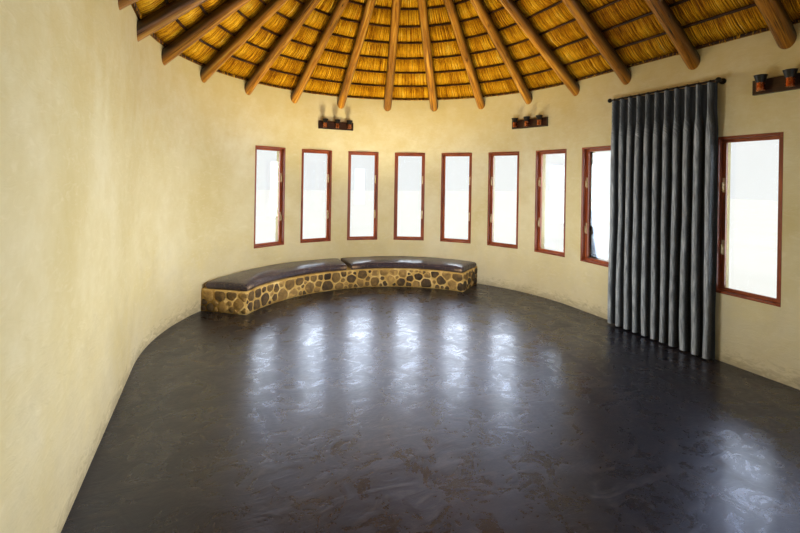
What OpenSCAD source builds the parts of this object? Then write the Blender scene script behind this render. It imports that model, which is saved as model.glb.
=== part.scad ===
// Round-ended thatched hut: plastered walls, a pole rafter and lath roof under thatch,
// side-hung windows, a stone bench with seat pads, and the fittings on the walls.
// The origin is on the ground at the middle of the plan. +Y runs along the ridge to the
// far round end, +X is the side with the doorway.

/* [Plan and walls] */
// Inner radius of the two round ends
room_r = 2550; // [2300:10:2900]
// Spacing of the rafters along the straight sides
bay_l = 760; // [700:10:860]
// Number of rafter bays along each straight side
side_bays = 5; // [5:1:7]
// Thickness of the plastered walls
wall_t = 230; // [200:10:340]
// Height of the floor above the ground
floor_h = 150; // [80:10:300]
// Height from the floor to the tops of the rafters at the inner face of the wall
wall_h = 3030; // [2950:5:3400]

/* [Roof] */
// Pitch of the roof in degrees
pitch = 40; // [38:0.5:45]
// Thickness of the thatch, square to the slope
thatch_t = 180; // [140:5:230]
// Level distance from the outer wall face to the eaves
eaves_out = 520; // [350:10:700]
// Diameter of a rafter pole at its butt, by the eaves
butt_d = 142; // [130:2:160]
// Diameter of a rafter pole at its tip, by the ridge
tip_d = 122; // [100:2:128]
// Level distance from the eaves back to the rafter butts
tail_back = 70; // [40:5:120]
// Level distance from the roof's centre to the tips of the short rafters
jack_r = 490; // [440:10:700]
// Gap at the mitres where rafter tips meet
mitre_gap = 3; // [1:0.5:6]
// Diameter of the ridge pole
ridge_d = 150; // [130:5:190]
// Depth of the saddle that each rafter tip has for the ridge pole
ridge_saddle = 15; // [5:1:25]
// Length of the ridge pole past the centre of each round end
ridge_past = 100; // [80:5:160]
// Diameter of the laths
lath_d = 30; // [24:1:36]
// Spacing of the laths up the slope
lath_step = 270; // [220:5:320]
// Depth that a lath beds up into the thatch
lath_bed = 18; // [10:1:22]
// Depth that a lath's binding pulls it into each pole
lath_bite = 1; // [0.5:0.5:2]
// Gap between the laths beside the wall and the wall's faces
lath_gap = 1; // [1:1:5]
// Thickness of the mortar ridge cap
cap_t = 48; // [30:2:80]
// Level reach of the ridge cap on each side of the ridge
cap_reach = 380; // [280:10:520]

/* [Windows] */
// Overall width of a window frame
window_w = 520; // [480:5:560]
// Overall height of a window frame
window_h = 1500; // [1300:10:1600]
// Height of the bottom of a window frame above the floor
window_sill = 644; // [560:4:740]
// Depth of a window frame through the wall
frame_d = 110; // [102:2:130]
// Distance that a window frame stands proud of the plaster at its edges
frame_proud = 2; // [1:1:15]
// Face width of a frame's jambs and head
frame_face = 22; // [16:1:30]
// Face height of a frame's bottom rail
frame_bottom = 20; // [16:1:34]
// Width of the lip that a sash closes against
stop_w = 10; // [8:1:14]
// Depth of that lip, from the room to the sash
stop_d = 60; // [46:1:64]
// Gap round a sash in its frame
sash_gap = 2; // [1:0.5:3]
// Face width of a sash's stiles and rails
sash_face = 42; // [36:1:48]
// Thickness of a sash
sash_t = 38; // [34:1:44]
// Thickness of the window glass
pane_t = 6; // [4:1:8]
// Depth that the glass reaches into the rebate of a sash
pane_in = 8; // [6:1:12]
// Gap between the top and sides of a frame and the wall
wall_gap = 1; // [0.5:0.5:4]
// Least width of wall between the nearer side windows, and from the doorway to them
side_pier = 85; // [70:5:140]
// Width of wall from the far end of the straight side to its first window
first_pier = 125; // [80:5:160]
// Width of wall from the last side window to the near end of the straight side
end_pier = 120; // [80:5:160]
// Length of a fastener's plate
fastener_l = 140; // [110:5:160]
// Width of a fastener's plate
fastener_w = 20; // [14:1:22]
// Thickness of a fastener's plate
fastener_t = 5; // [3:1:7]
// Diameter of a fastener's handle
fastener_handle_d = 12; // [9:1:16]
// Distance of a fastener's handle from its plate
fastener_out = 20; // [14:1:34]

/* [Doorway] */
// Overall width of the door frame
door_w = 900; // [860:10:960]
// Height of the top of the door frame above the floor
door_h = 2144; // [2060:4:2200]
// Width of wall between the first side window and the doorway
door_pier = 120; // [90:5:160]
// Face width of the door frame
door_frame_face = 62; // [50:2:76]
// Depth of the door frame through the wall
door_frame_d = 100; // [90:2:130]
// Thickness of the door leaf
door_t = 44; // [38:1:50]
// Gap round the door leaf
door_gap = 3; // [2:0.5:5]
// Width of the lip that the door closes against
door_stop_w = 12; // [10:1:16]
// Width of the leaf's stiles and top rail
stile_w = 110; // [90:5:130]
// Height of the leaf's solid part, below its glass
kick_h = 620; // [400:10:800]
// Height of the leaf's bottom rail
bottom_rail_h = 190; // [140:10:240]
// Depth of the sunk panel on each face of the leaf
panel_sunk = 10; // [6:1:14]
// Distance from the plaster back to the door frame
door_set = 40; // [20:5:60]
// Height of the door handle above the floor
handle_h = 1050; // [950:10:1100]
// Length of the handle's back plate
handle_plate_l = 200; // [160:10:240]
// Width of the handle's back plate
handle_plate_w = 42; // [34:1:50]
// Thickness of the handle's back plate
handle_plate_t = 6; // [4:1:8]
// Length of the lever
lever_l = 115; // [95:5:130]
// Distance of the lever from the leaf
lever_out = 44; // [36:1:50]
// Diameter of the lever
lever_d = 19; // [15:1:22]

/* [Bench] */
// Radius of the bench's stone front
bench_r = 1900; // [1750:10:2000]
// Angle that the bench takes of the round end
bench_turn = 108; // [90:2:126]
// Height of the stone seat above the floor
stone_h = 277; // [240:5:330]
// Thickness of the seat pads
pad_t = 105; // [80:5:130]
// Distance that the pads stand back from the stone front
pad_back = 12; // [5:1:40]
// Gap between the pads and the wall
pad_gap = 10; // [5:1:30]
// Gap between the two pads
pad_joint = 8; // [4:1:20]
// Bevel along the edges of the pads
pad_bevel = 22; // [10:1:30]

/* [Curtain] */
// Reach of the drawn curtain past each side of the door frame
curtain_past = 130; // [60:5:140]
// Height of the curtain's rod above the floor
rod_h = 2675; // [2600:5:2720]
// Distance of the rod's centre from the wall
rod_out = 95; // [85:5:120]
// Diameter of the rod
rod_d = 22; // [18:1:30]
// Length of rod past each side of the curtain
rod_past = 15; // [15:5:60]
// Diameter of the ball at each end of the rod
finial_d = 52; // [40:2:64]
// Diameter of the two brackets that hold the rod
bracket_d = 14; // [10:1:18]
// Diameter of a bracket's rose on the wall
rose_d = 58; // [46:2:70]
// Thickness of that rose
rose_t = 8; // [5:1:12]
// Number of pleats
pleats = 11; // [9:1:13]
// Depth of the pleats, front to back
pleat_depth = 84; // [60:2:90]
// Thickness of the curtain's solid, front to back
cloth_t = 14; // [10:1:20]
// Gap between the curtain's hem and the floor
hem_gap = 12; // [5:1:30]
// Inside diameter of the curtain rings
ring_in_d = 36; // [34:1:44]
// Diameter of the wire that the curtain rings are made of
ring_wire = 5; // [4:0.5:7]

/* [Wall lights] */
// Angles round the far end, in degrees from the doorway side, at which two lights hang
light_turns = [92, 17]; // [0:1:100]
// Length of a light's board
board_l = 590; // [480:10:620]
// Height of a light's board
board_h = 130; // [100:5:140]
// Thickness of a light's board
board_t = 34; // [24:1:40]
// Height of the middle of the boards above the floor
light_h = 2555; // [2460:5:2600]
// Spacing of the lamps on a board
lamp_step = 205; // [180:5:220]
// Distance of a lamp's centre from the board's face
lamp_out = 58; // [52:1:75]
// Diameter of a lamp's copper holder
holder_d = 62; // [50:1:70]
// Height of a lamp's copper holder
holder_h = 72; // [60:2:90]
// Distance from the top of a board down to the top of a holder
holder_drop = 40; // [0:1:46]
// Diameter of the arm that carries a holder
arm_d = 20; // [14:1:28]
// Diameter of a lamp's shade at its rim
shade_d = 98; // [84:2:104]
// Height of a lamp's shade
shade_h = 66; // [54:2:80]
// Thickness of a shade at its rim
shade_t = 3; // [2:0.5:5]
// Depth of a lamp's lens below the rim of its shade
lens_drop = 6; // [3:1:12]
// Distance of the side light's centre from the far end of the straight wall
side_light_at = 2350; // [2300:10:2400]

/* [Hidden] */

// Rafter bays in each round end, and how many of them a wall segment takes
end_bays = 10;
bays_a_segment = 2;
bay_turn = 180 / end_bays;
segment_turn = bay_turn * bays_a_segment;
// The bays of the round end that are blank, counted from the left
blank_bays = 3;

side_l = bay_l * side_bays;
end_y = side_l / 2;
outer_r = room_r + wall_t;
eaves_r = outer_r + eaves_out;
tail_r = eaves_r - tail_back;
// A length that reaches past the whole hut, for cutting tools
past = side_l + 2 * eaves_r;
top_z = floor_h + wall_h;
butt_r = butt_d / 2;
tip_r = tip_d / 2;
// Height of the thatch's underside over the rafter tops, square to the slope
under_w = lath_d - lath_bite - lath_bed;
lath_w = lath_d / 2 - lath_bite;

// Laths inside the wall start beside its inner face, and those outside beside its outer face
lath_lean = lath_w * sin(pitch);
lath_in_r = room_r - lath_gap - lath_d / 2 - lath_lean;
lath_out_r = outer_r + lath_gap + lath_d / 2 - lath_lean;
lath_level = lath_step * cos(pitch);
lath_rs = concat(
    [for (r = [lath_in_r : -lath_level : lath_level / 2]) r],
    [for (r = [lath_out_r : lath_level : tail_r]) r]
);

// Height of a plane that runs parallel to the roof, at a level distance from the ridge
function plane_z(r, w) = top_z + (room_r - r) * tan(pitch) + w / cos(pitch);
// The same point reached from the rafter tops, square to the slope
function off_slope(r, w) = [r + w * sin(pitch), plane_z(r, 0) + w * cos(pitch)];

// Ridge pole's centre: each tapered tip sits on it with a saddle of the chosen depth
ridge_z = plane_z(0, 0) - (tip_d + ridge_d / 2 - ridge_saddle) / cos(pitch);
ridge_l = side_l + 2 * ridge_past;

// Windows
window_z = floor_h + window_sill;
window_in_r = sqrt(pow(room_r, 2) - pow(window_w / 2, 2)) - frame_proud;
frame_hole_w = window_w - 2 * frame_face;
frame_hole_h = window_h - frame_face - frame_bottom;
rebate_w = frame_hole_w + 2 * stop_w;
rebate_h = frame_hole_h + 2 * stop_w;
sash_w = rebate_w - 2 * sash_gap;
sash_h = rebate_h - sash_gap;
sash_z = frame_bottom - stop_w;
sight_w = sash_w - 2 * sash_face;
sight_h = sash_h - 2 * sash_face;
// A fastener's height as a share of the window, from the top, and its place on the sash
fastener_shares = [0.31, 0.71];

// Side windows and doorway, as distances from the far end of the straight wall
first_window_at = first_pier + window_w / 2;
door_at = first_pier + window_w + door_pier + door_w / 2;
door_y = end_y - door_at;
door_from = door_at - door_w / 2;
door_to = door_at + door_w / 2;
door_x = room_r + door_set;
// Centres of as many windows as a run of wall takes, spread evenly from end to end of it
function spread_windows(from, to) =
    let (n = floor((to - from + side_pier) / (window_w + side_pier)),
         gap = n > 1 ? (to - from - window_w) / (n - 1) : 0,
         start = n > 1 ? from + window_w / 2 : (from + to) / 2)
    [for (i = [0 : 1 : n - 1]) start + i * gap];
side_windows = concat(first_window_at, spread_windows(door_to + side_pier, side_l - end_pier));
door_hole_w = door_w - 2 * door_frame_face;
door_hole_h = door_h - door_frame_face;
leaf_w = door_hole_w + 2 * door_stop_w - 2 * door_gap;
leaf_h = door_hole_h + door_stop_w - 2 * door_gap;
leaf_z = floor_h + door_gap;
door_light_w = leaf_w - 2 * stile_w;
door_light_h = leaf_h - kick_h - stile_w;
handle_y = door_y + leaf_w / 2 - stile_w / 2;
handle_z = floor_h + handle_h;

// Curtain
curtain_w = door_w + 2 * curtain_past;
rod_x = room_r - rod_out;
rod_z = floor_h + rod_h;
rod_r = rod_d / 2;
ring_z = rod_z + rod_r - ring_in_d / 2;
curtain_top = ring_z - ring_in_d / 2 - ring_wire;
curtain_low = floor_h + hem_gap;
rod_half = curtain_w / 2 + rod_past;
pleat_l = curtain_w / pleats;
wave = (pleat_depth - cloth_t) / 2;
// Points drawn along each pleat
pleat_points = 12;

// Bench
joint_turn = 2 * asin(pad_joint / (bench_r + room_r));
pad_turn = (bench_turn - joint_turn) / 2;
pad_z = floor_h + stone_h;

// Wall lights
board_z = floor_h + light_h;
end_board_x = sqrt(pow(room_r, 2) - pow(board_l / 2, 2));
holder_z = board_z + board_h / 2 - holder_drop - holder_h;

// Placing
module at_far_end() {
    translate([0, end_y, 0]) children();
}

module at_near_end() {
    mirror([0, 1, 0]) translate([0, end_y, 0]) children();
}

// Children drawn looking along the radius, at one angle of a round end
module at_turn(turn) {
    rotate([0, 0, turn]) children();
}

// A roof or wall section drawn in level distance and height, run along the straight side
module run_along(y_low, y_high) {
    translate([0, y_high, 0]) rotate([90, 0, 0])
        linear_extrude(height = y_high - y_low) children();
}

module both_sides() {
    children();
    mirror([1, 0, 0]) children();
}

// Roof timbers
module pole() {
    slope_l = tail_r / cos(pitch);
    lean = atan((butt_r - tip_r) / slope_l);
    start = off_slope(tail_r, -butt_r);
    translate([start[0], 0, start[1]]) rotate([0, pitch + lean - 90, 0])
        cylinder(h = norm([slope_l, butt_r - tip_r]), r1 = butt_r, r2 = tip_r, $fn = 24);
}

// Keeps a pole on its own side of the mitres with its neighbours
module mitre_wedge(turn_low, turn_high) {
    linear_extrude(height = past)
        polygon([
            [mitre_gap, 0],
            [mitre_gap + past * cos(turn_low), past * sin(turn_low)],
            [mitre_gap + past, 0],
            [mitre_gap + past * cos(turn_high), past * sin(turn_high)]
        ]);
}

module ridge_bar() {
    translate([0, ridge_l / 2, ridge_z]) rotate([90, 0, 0])
        cylinder(h = ridge_l, d = ridge_d, $fn = 32);
}

// A full rafter of the round end, from one mitre to the next, saddled over the ridge pole
module end_rafter(i) {
    low = i == 0 ? -90 : -bay_turn;
    high = i == end_bays ? 90 : bay_turn;
    difference() {
        at_turn(i * bay_turn) intersection() {
            pole();
            mitre_wedge(low, high);
        }
        translate([0, -end_y, 0]) ridge_bar();
    }
}

// A short rafter, cut plumb before the others crowd it
module jack_rafter(i) {
    at_turn(i * bay_turn) intersection() {
        pole();
        translate([jack_r, -past / 2, 0]) cube([past, past, past]);
    }
}

module end_rafters() {
    for (i = [0 : 2 : end_bays]) end_rafter(i);
    for (i = [1 : 2 : end_bays - 1]) jack_rafter(i);
}

module side_rafter(i) {
    difference() {
        translate([0, end_y - i * bay_l, 0]) intersection() {
            pole();
            translate([mitre_gap, -past / 2, 0]) cube([past, past, past]);
        }
        ridge_bar();
    }
}

module rafters_far() {
    color("#b5742f") at_far_end() end_rafters();
}

module rafters_near() {
    color("#b5742f") at_near_end() end_rafters();
}

module rafters_side() {
    color("#b5742f") both_sides() for (i = [1 : side_bays - 1]) side_rafter(i);
}

module ridge_pole() {
    color("#a86a2c") ridge_bar();
}

// Laths
module lath_dots() {
    for (r = lath_rs) translate(off_slope(r, lath_w)) circle(d = lath_d, $fn = 16);
}

module end_laths() {
    rotate_extrude(angle = 180, $fn = 72) lath_dots();
}

module laths_far() {
    color("#8a5a2a") at_far_end() end_laths();
}

module laths_near() {
    color("#8a5a2a") at_near_end() end_laths();
}

module laths_side() {
    color("#8a5a2a") both_sides() run_along(-end_y, end_y) lath_dots();
}

// Thatch, with a groove for each lath
module thatch_section() {
    difference() {
        polygon([
            off_slope(eaves_r, under_w),
            off_slope(eaves_r, under_w + thatch_t),
            [0, plane_z(0, under_w + thatch_t)],
            [0, plane_z(0, under_w)]
        ]);
        lath_dots();
    }
}

module thatch_far() {
    color("#c99a45") at_far_end() rotate_extrude(angle = 180, $fn = 72) thatch_section();
}

module thatch_near() {
    color("#c99a45") at_near_end() rotate_extrude(angle = 180, $fn = 72) thatch_section();
}

module thatch_right() {
    color("#c99a45") run_along(-end_y, end_y) thatch_section();
}

module thatch_left() {
    color("#c99a45") mirror([1, 0, 0]) run_along(-end_y, end_y) thatch_section();
}

// Mortar cap over the ridge and round its two ends, with a blunt top
module cap_section() {
    low_w = under_w + thatch_t;
    blunt_r = cap_t;
    polygon([
        [0, plane_z(0, low_w)],
        [cap_reach, plane_z(cap_reach, low_w)],
        [cap_reach + cap_t * sin(pitch), plane_z(cap_reach, low_w) + cap_t * cos(pitch)],
        [blunt_r, plane_z(blunt_r, low_w + cap_t)],
        [blunt_r / 2, plane_z(blunt_r, low_w + cap_t) + blunt_r * tan(pitch) / 3],
        [0, plane_z(blunt_r, low_w + cap_t) + blunt_r * tan(pitch) / 2.5]
    ]);
}

module ridge_cap() {
    color("#a79c86") {
        at_far_end() rotate_extrude(angle = 180, $fn = 72) cap_section();
        at_near_end() rotate_extrude(angle = 180, $fn = 72) cap_section();
        both_sides() run_along(-end_y, end_y) cap_section();
    }
}

// Walls
module wall_section() {
    polygon([
        [room_r, 0],
        [outer_r, 0],
        [outer_r, plane_z(outer_r, under_w)],
        [room_r, plane_z(room_r, under_w)]
    ]);
}

// The hole that a window frame is set in, drawn on the radius
module window_hole() {
    hole_w = window_w + 2 * wall_gap;
    translate([room_r - wall_t, -hole_w / 2, window_z])
        cube([3 * wall_t, hole_w, window_h + wall_gap]);
}

module end_wall(segment) {
    first = (segment - 1) * bays_a_segment;
    difference() {
        at_turn(180 - segment * segment_turn)
            rotate_extrude(angle = segment_turn, $fn = 120) wall_section();
        for (i = [first : first + bays_a_segment]) at_turn(180 - i * bay_turn) pole();
        for (i = [first : first + bays_a_segment - 1])
            if (i >= blank_bays) at_turn(180 - (i + 0.5) * bay_turn) window_hole();
    }
}

module far_wall(segment) {
    color("#d9c48c") at_far_end() end_wall(segment);
}

module near_wall(segment) {
    color("#d9c48c") at_near_end() end_wall(segment);
}

module side_poles() {
    for (i = [0 : side_bays]) translate([0, end_y - i * bay_l, 0]) pole();
}

module side_wall(from, to) {
    difference() {
        run_along(end_y - to, end_y - from) wall_section();
        side_poles();
        for (at = side_windows)
            if (at > from && at < to) translate([0, end_y - at, 0]) window_hole();
    }
}

module left_wall() {
    color("#d9c48c") mirror([1, 0, 0]) difference() {
        run_along(-end_y, end_y) wall_section();
        side_poles();
    }
}

module right_wall_far() {
    color("#d9c48c") side_wall(0, door_from - wall_gap);
}

module right_wall_near() {
    color("#d9c48c") side_wall(door_to + wall_gap, side_l);
}

module over_door_wall() {
    color("#d9c48c") difference() {
        side_wall(door_from - wall_gap, door_to + wall_gap);
        translate([0, -past / 2, -past]) cube([past, past, past + floor_h + door_h + wall_gap]);
    }
}

module door_sill() {
    sill_w = door_w + 2 * wall_gap;
    color("#7c7770") translate([room_r, door_y - sill_w / 2, 0]) cube([wall_t, sill_w, floor_h]);
}

// A ground plan with two round ends
module round_ended(r, h) {
    at_far_end() rotate_extrude(angle = 180, $fn = 120) square([r, h]);
    at_near_end() rotate_extrude(angle = 180, $fn = 120) square([r, h]);
    translate([-r, -end_y, 0]) cube([2 * r, side_l, h]);
}

module floor_slab() {
    color("#5b4f45") round_ended(room_r, floor_h);
}

// Door
module door_frame() {
    color("#7a3a1c") translate([door_x, door_y, floor_h]) difference() {
        translate([0, -door_w / 2, 0]) cube([door_frame_d, door_w, door_h]);
        translate([-1, -door_hole_w / 2, -1]) cube([door_frame_d + 2, door_hole_w, door_hole_h + 1]);
        translate([-1, -door_hole_w / 2 - door_stop_w, -1])
            cube([door_t + 1, door_hole_w + 2 * door_stop_w, door_hole_h + door_stop_w + 1]);
    }
}

module door_leaf() {
    pane_d = (door_t + pane_t) / 2;
    panel_h = kick_h - 2 * bottom_rail_h + bottom_rail_h / 2;
    color("#85401f") translate([door_x, door_y, leaf_z]) difference() {
        translate([0, -leaf_w / 2, 0]) cube([door_t, leaf_w, leaf_h]);
        translate([-1, -door_light_w / 2, kick_h]) cube([door_t + 2, door_light_w, door_light_h]);
        translate([door_t - pane_d, -door_light_w / 2 - pane_in, kick_h - pane_in])
            cube([pane_d + 1, door_light_w + 2 * pane_in, door_light_h + 2 * pane_in]);
        for (x = [-1, door_t - panel_sunk])
            translate([x, -door_light_w / 2, bottom_rail_h])
                cube([panel_sunk + 1, door_light_w, panel_h]);
    }
}

module door_glass() {
    pane_w = door_light_w + 2 * pane_in;
    pane_h = door_light_h + 2 * pane_in;
    color("#dfeaf0", 0.4)
        translate([door_x + (door_t - pane_t) / 2, door_y - pane_w / 2, leaf_z + kick_h - pane_in])
            cube([pane_t, pane_w, pane_h]);
}

// One side of the handle: plate, neck and lever, standing off the leaf towards -X
module lever_side() {
    translate([-handle_plate_t, -handle_plate_w / 2, -handle_plate_l * 0.6])
        cube([handle_plate_t, handle_plate_w, handle_plate_l]);
    rotate([0, -90, 0]) cylinder(h = lever_out + lever_d / 2, d = lever_d, $fn = 24);
    translate([-lever_out, 0, 0]) rotate([90, 0, 0]) cylinder(h = lever_l, d = lever_d, $fn = 24);
}

module door_handle() {
    color("#c08a3a") {
        translate([door_x, handle_y, handle_z]) lever_side();
        translate([door_x + door_t, handle_y, handle_z]) mirror([1, 0, 0]) lever_side();
    }
}

// Windows. Each is drawn on the radius with its frame's inner face at x = 0.
// hand is 1 where the fasteners are on the left seen from inside, and -1 on the right.
module window_frame() {
    difference() {
        translate([0, -window_w / 2, 0]) cube([frame_d, window_w, window_h]);
        translate([-1, -frame_hole_w / 2, frame_bottom]) cube([frame_d + 2, frame_hole_w, frame_hole_h]);
        translate([stop_d, -rebate_w / 2, sash_z]) cube([frame_d, rebate_w, rebate_h]);
    }
}

module window_sash() {
    pane_d = (sash_t + pane_t) / 2;
    translate([stop_d, 0, sash_z]) difference() {
        translate([0, -sash_w / 2, 0]) cube([sash_t, sash_w, sash_h]);
        translate([-1, -sight_w / 2, sash_face]) cube([sash_t + 2, sight_w, sight_h]);
        translate([sash_t - pane_d, -sight_w / 2 - pane_in, sash_face - pane_in])
            cube([sash_t, sight_w + 2 * pane_in, sight_h + 2 * pane_in]);
    }
}

module window_pane() {
    translate([stop_d + (sash_t - pane_t) / 2, -sight_w / 2 - pane_in, sash_z + sash_face - pane_in])
        cube([pane_t, sight_w + 2 * pane_in, sight_h + 2 * pane_in]);
}

module window_fastener_pair(hand) {
    stile_y = hand * (sight_w + frame_hole_w) / 4;
    for (share = fastener_shares)
        translate([stop_d - fastener_t, stile_y, window_h * (1 - share)]) {
            translate([0, -fastener_w / 2, -fastener_l / 2]) cube([fastener_t, fastener_w, fastener_l]);
            rotate([0, -90, 0]) cylinder(h = fastener_out, d = fastener_handle_d, $fn = 16);
            translate([-fastener_out, 0, -fastener_l * 0.4])
                cylinder(h = fastener_l * 0.6, d = fastener_handle_d, $fn = 16);
        }
}

// The children at every window of one round end, on the given hand
module at_end_windows(hand_wanted) {
    for (i = [blank_bays : end_bays - 1])
        if ((i < end_bays - 2 ? -1 : 1) == hand_wanted)
            at_turn(180 - (i + 0.5) * bay_turn) translate([window_in_r, 0, window_z]) children();
}

module at_windows(hand_wanted) {
    at_far_end() at_end_windows(hand_wanted) children();
    at_near_end() at_end_windows(hand_wanted) children();
    if (hand_wanted == 1)
        for (at = side_windows) translate([room_r - frame_proud, end_y - at, window_z]) children();
}

module window_frames() {
    color("#7a3a1c") for (hand = [-1, 1]) at_windows(hand) window_frame();
}

module window_sashes() {
    color("#8f4520") for (hand = [-1, 1]) at_windows(hand) window_sash();
}

module window_glass() {
    color("#dfeaf0", 0.4) for (hand = [-1, 1]) at_windows(hand) window_pane();
}

module window_fasteners() {
    color("#c79a4a") for (hand = [-1, 1]) at_windows(hand) window_fastener_pair(hand);
}

// Bench
module at_bench(turn) {
    at_far_end() at_turn(turn) children();
}

module bench_stone() {
    color("#8f7a5c") at_bench(90 - bench_turn / 2) rotate_extrude(angle = bench_turn, $fn = 120)
        translate([bench_r, floor_h]) square([room_r - bench_r, stone_h]);
}

module seat_pad() {
    pad_in = bench_r + pad_back;
    pad_out = room_r - pad_gap;
    low_bevel = pad_bevel / 2;
    rotate_extrude(angle = pad_turn, $fn = 120)
        polygon([
            [pad_in + low_bevel, pad_z],
            [pad_out - low_bevel, pad_z],
            [pad_out, pad_z + low_bevel],
            [pad_out, pad_z + pad_t - pad_bevel],
            [pad_out - pad_bevel, pad_z + pad_t],
            [pad_in + pad_bevel, pad_z + pad_t],
            [pad_in, pad_z + pad_t - pad_bevel],
            [pad_in, pad_z + low_bevel]
        ]);
}

module pad_left() {
    color("#33343d") at_bench(90 + joint_turn / 2) seat_pad();
}

module pad_right() {
    color("#33343d") at_bench(90 - bench_turn / 2) seat_pad();
}

// Curtain
module rod_half_side() {
    bracket_y = rod_half - bracket_d;
    translate([rod_x, rod_half, rod_z]) sphere(d = finial_d, $fn = 32);
    translate([rod_x, bracket_y, rod_z]) rotate([0, 90, 0])
        cylinder(h = rod_out, d = bracket_d, $fn = 24);
    translate([room_r - rose_t, bracket_y, rod_z]) rotate([0, 90, 0])
        cylinder(h = rose_t, d = rose_d, $fn = 32);
}

module curtain_rod() {
    color("#1e1b1a") translate([0, door_y, 0]) {
        translate([rod_x, rod_half, rod_z]) rotate([90, 0, 0])
            cylinder(h = 2 * rod_half, d = rod_d, $fn = 32);
        rod_half_side();
        mirror([0, 1, 0]) rod_half_side();
    }
}

module curtain_rings() {
    color("#2a2624") for (i = [0 : pleats - 1])
        translate([rod_x, door_y + (i + 0.5) * pleat_l - curtain_w / 2, ring_z])
            rotate([90, 0, 0]) rotate_extrude($fn = 32)
                translate([(ring_in_d + ring_wire) / 2, 0]) circle(d = ring_wire, $fn = 16);
}

// The pleats seen from above: a wave with a front and a back
module curtain() {
    last = pleats * pleat_points;
    front = [for (i = [0 : last])
        [wave * sin(360 * i / pleat_points) - cloth_t / 2, curtain_w * (i / last - 0.5)]];
    back = [for (i = [last : -1 : 0])
        [wave * sin(360 * i / pleat_points) + cloth_t / 2, curtain_w * (i / last - 0.5)]];
    color("#4a4744") translate([rod_x, door_y, curtain_low])
        linear_extrude(height = curtain_top - curtain_low) polygon(concat(back, front));
}

// Wall lights. Each is drawn on the radius with its board's back at x = 0.
module at_lights() {
    for (turn = light_turns) at_far_end() at_turn(turn) translate([end_board_x, 0, 0]) children();
    translate([room_r, end_y - side_light_at, 0]) children();
}

module at_lamps() {
    at_lights() for (i = [-1 : 1]) translate([-board_t - lamp_out, i * lamp_step, holder_z]) children();
}

module wall_light_boards() {
    color("#2b1a12") at_lights() translate([-board_t, -board_l / 2, board_z - board_h / 2])
        cube([board_t, board_l, board_h]);
}

module wall_light_holders() {
    color("#b5683f") at_lamps() {
        cylinder(h = holder_h, d = holder_d, $fn = 32);
        translate([0, 0, holder_h / 3]) rotate([0, 90, 0])
            cylinder(h = lamp_out, d = arm_d, $fn = 24);
    }
}

module wall_light_shades() {
    color("#181818") at_lamps() translate([0, 0, holder_h]) rotate_extrude($fn = 40)
        polygon([
            [0, 0],
            [holder_d / 2, 0],
            [shade_d / 2, shade_h],
            [shade_d / 2 - shade_t, shade_h],
            [shade_d / 2 - shade_t, shade_h - lens_drop],
            [0, shade_h - lens_drop]
        ]);
}

floor_slab();
far_wall(1);  // far_wall_1
far_wall(2);  // far_wall_2
far_wall(3);  // far_wall_3
far_wall(4);  // far_wall_4
far_wall(5);  // far_wall_5
near_wall(1);  // near_wall_1
near_wall(2);  // near_wall_2
near_wall(3);  // near_wall_3
near_wall(4);  // near_wall_4
near_wall(5);  // near_wall_5
left_wall();
right_wall_far();
right_wall_near();
over_door_wall();
door_sill();
door_frame();
door_leaf();
door_glass();
door_handle();
window_frames();
window_sashes();
window_glass();
window_fasteners();
rafters_far();
rafters_near();
rafters_side();
ridge_pole();
laths_far();
laths_near();
laths_side();
thatch_far();
thatch_near();
thatch_left();
thatch_right();
ridge_cap();
bench_stone();
pad_left();
pad_right();
curtain_rod();
curtain_rings();
curtain();
wall_light_boards();
wall_light_holders();
wall_light_shades();
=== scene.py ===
import math
import random

import bmesh
import bpy
import numpy as np
from mathutils import Matrix, Vector, kdtree, noise
from mathutils.bvhtree import BVHTree


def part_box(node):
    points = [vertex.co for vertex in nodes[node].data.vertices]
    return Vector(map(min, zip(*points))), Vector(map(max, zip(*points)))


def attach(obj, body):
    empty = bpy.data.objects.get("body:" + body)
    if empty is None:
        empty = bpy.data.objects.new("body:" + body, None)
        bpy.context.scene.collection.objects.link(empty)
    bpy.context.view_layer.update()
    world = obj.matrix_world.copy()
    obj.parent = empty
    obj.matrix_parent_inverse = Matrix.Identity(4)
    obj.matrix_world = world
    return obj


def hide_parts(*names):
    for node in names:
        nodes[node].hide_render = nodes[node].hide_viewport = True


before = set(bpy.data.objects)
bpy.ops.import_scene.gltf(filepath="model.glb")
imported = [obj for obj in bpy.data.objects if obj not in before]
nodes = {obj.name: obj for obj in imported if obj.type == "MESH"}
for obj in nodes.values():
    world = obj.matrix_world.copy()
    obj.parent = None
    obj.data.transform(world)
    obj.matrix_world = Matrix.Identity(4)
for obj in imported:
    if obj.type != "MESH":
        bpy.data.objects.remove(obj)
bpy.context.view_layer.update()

# The plan and the roof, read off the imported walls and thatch, in metres
pitch = math.radians(40)
sinPitch, cosPitch, tanPitch = math.sin(pitch), math.cos(pitch), math.tan(pitch)
roomR = -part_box("left_wall")[1].x
outerR = -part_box("left_wall")[0].x
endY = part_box("left_wall")[1].y
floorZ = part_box("floor_slab")[1].z
underLift = 0.011          # underside of the thatch over the rafter tops, square to the slope
thatchThick = 0.180
topLift = underLift + thatchThick
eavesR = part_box("thatch_right")[1].x - topLift * sinPitch
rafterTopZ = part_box("thatch_far")[1].z - roomR * tanPitch - topLift / cosPitch
windowLow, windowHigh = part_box("window_frames")[0].z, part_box("window_frames")[1].z

bays = 10                  # rafter bays in each round end
bayTurn = math.pi / bays
sideBays = 5               # and along each straight side
sideBay = 2 * endY / sideBays

random.seed(11)
dice = np.random.default_rng(11)


# Mesh helpers

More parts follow.
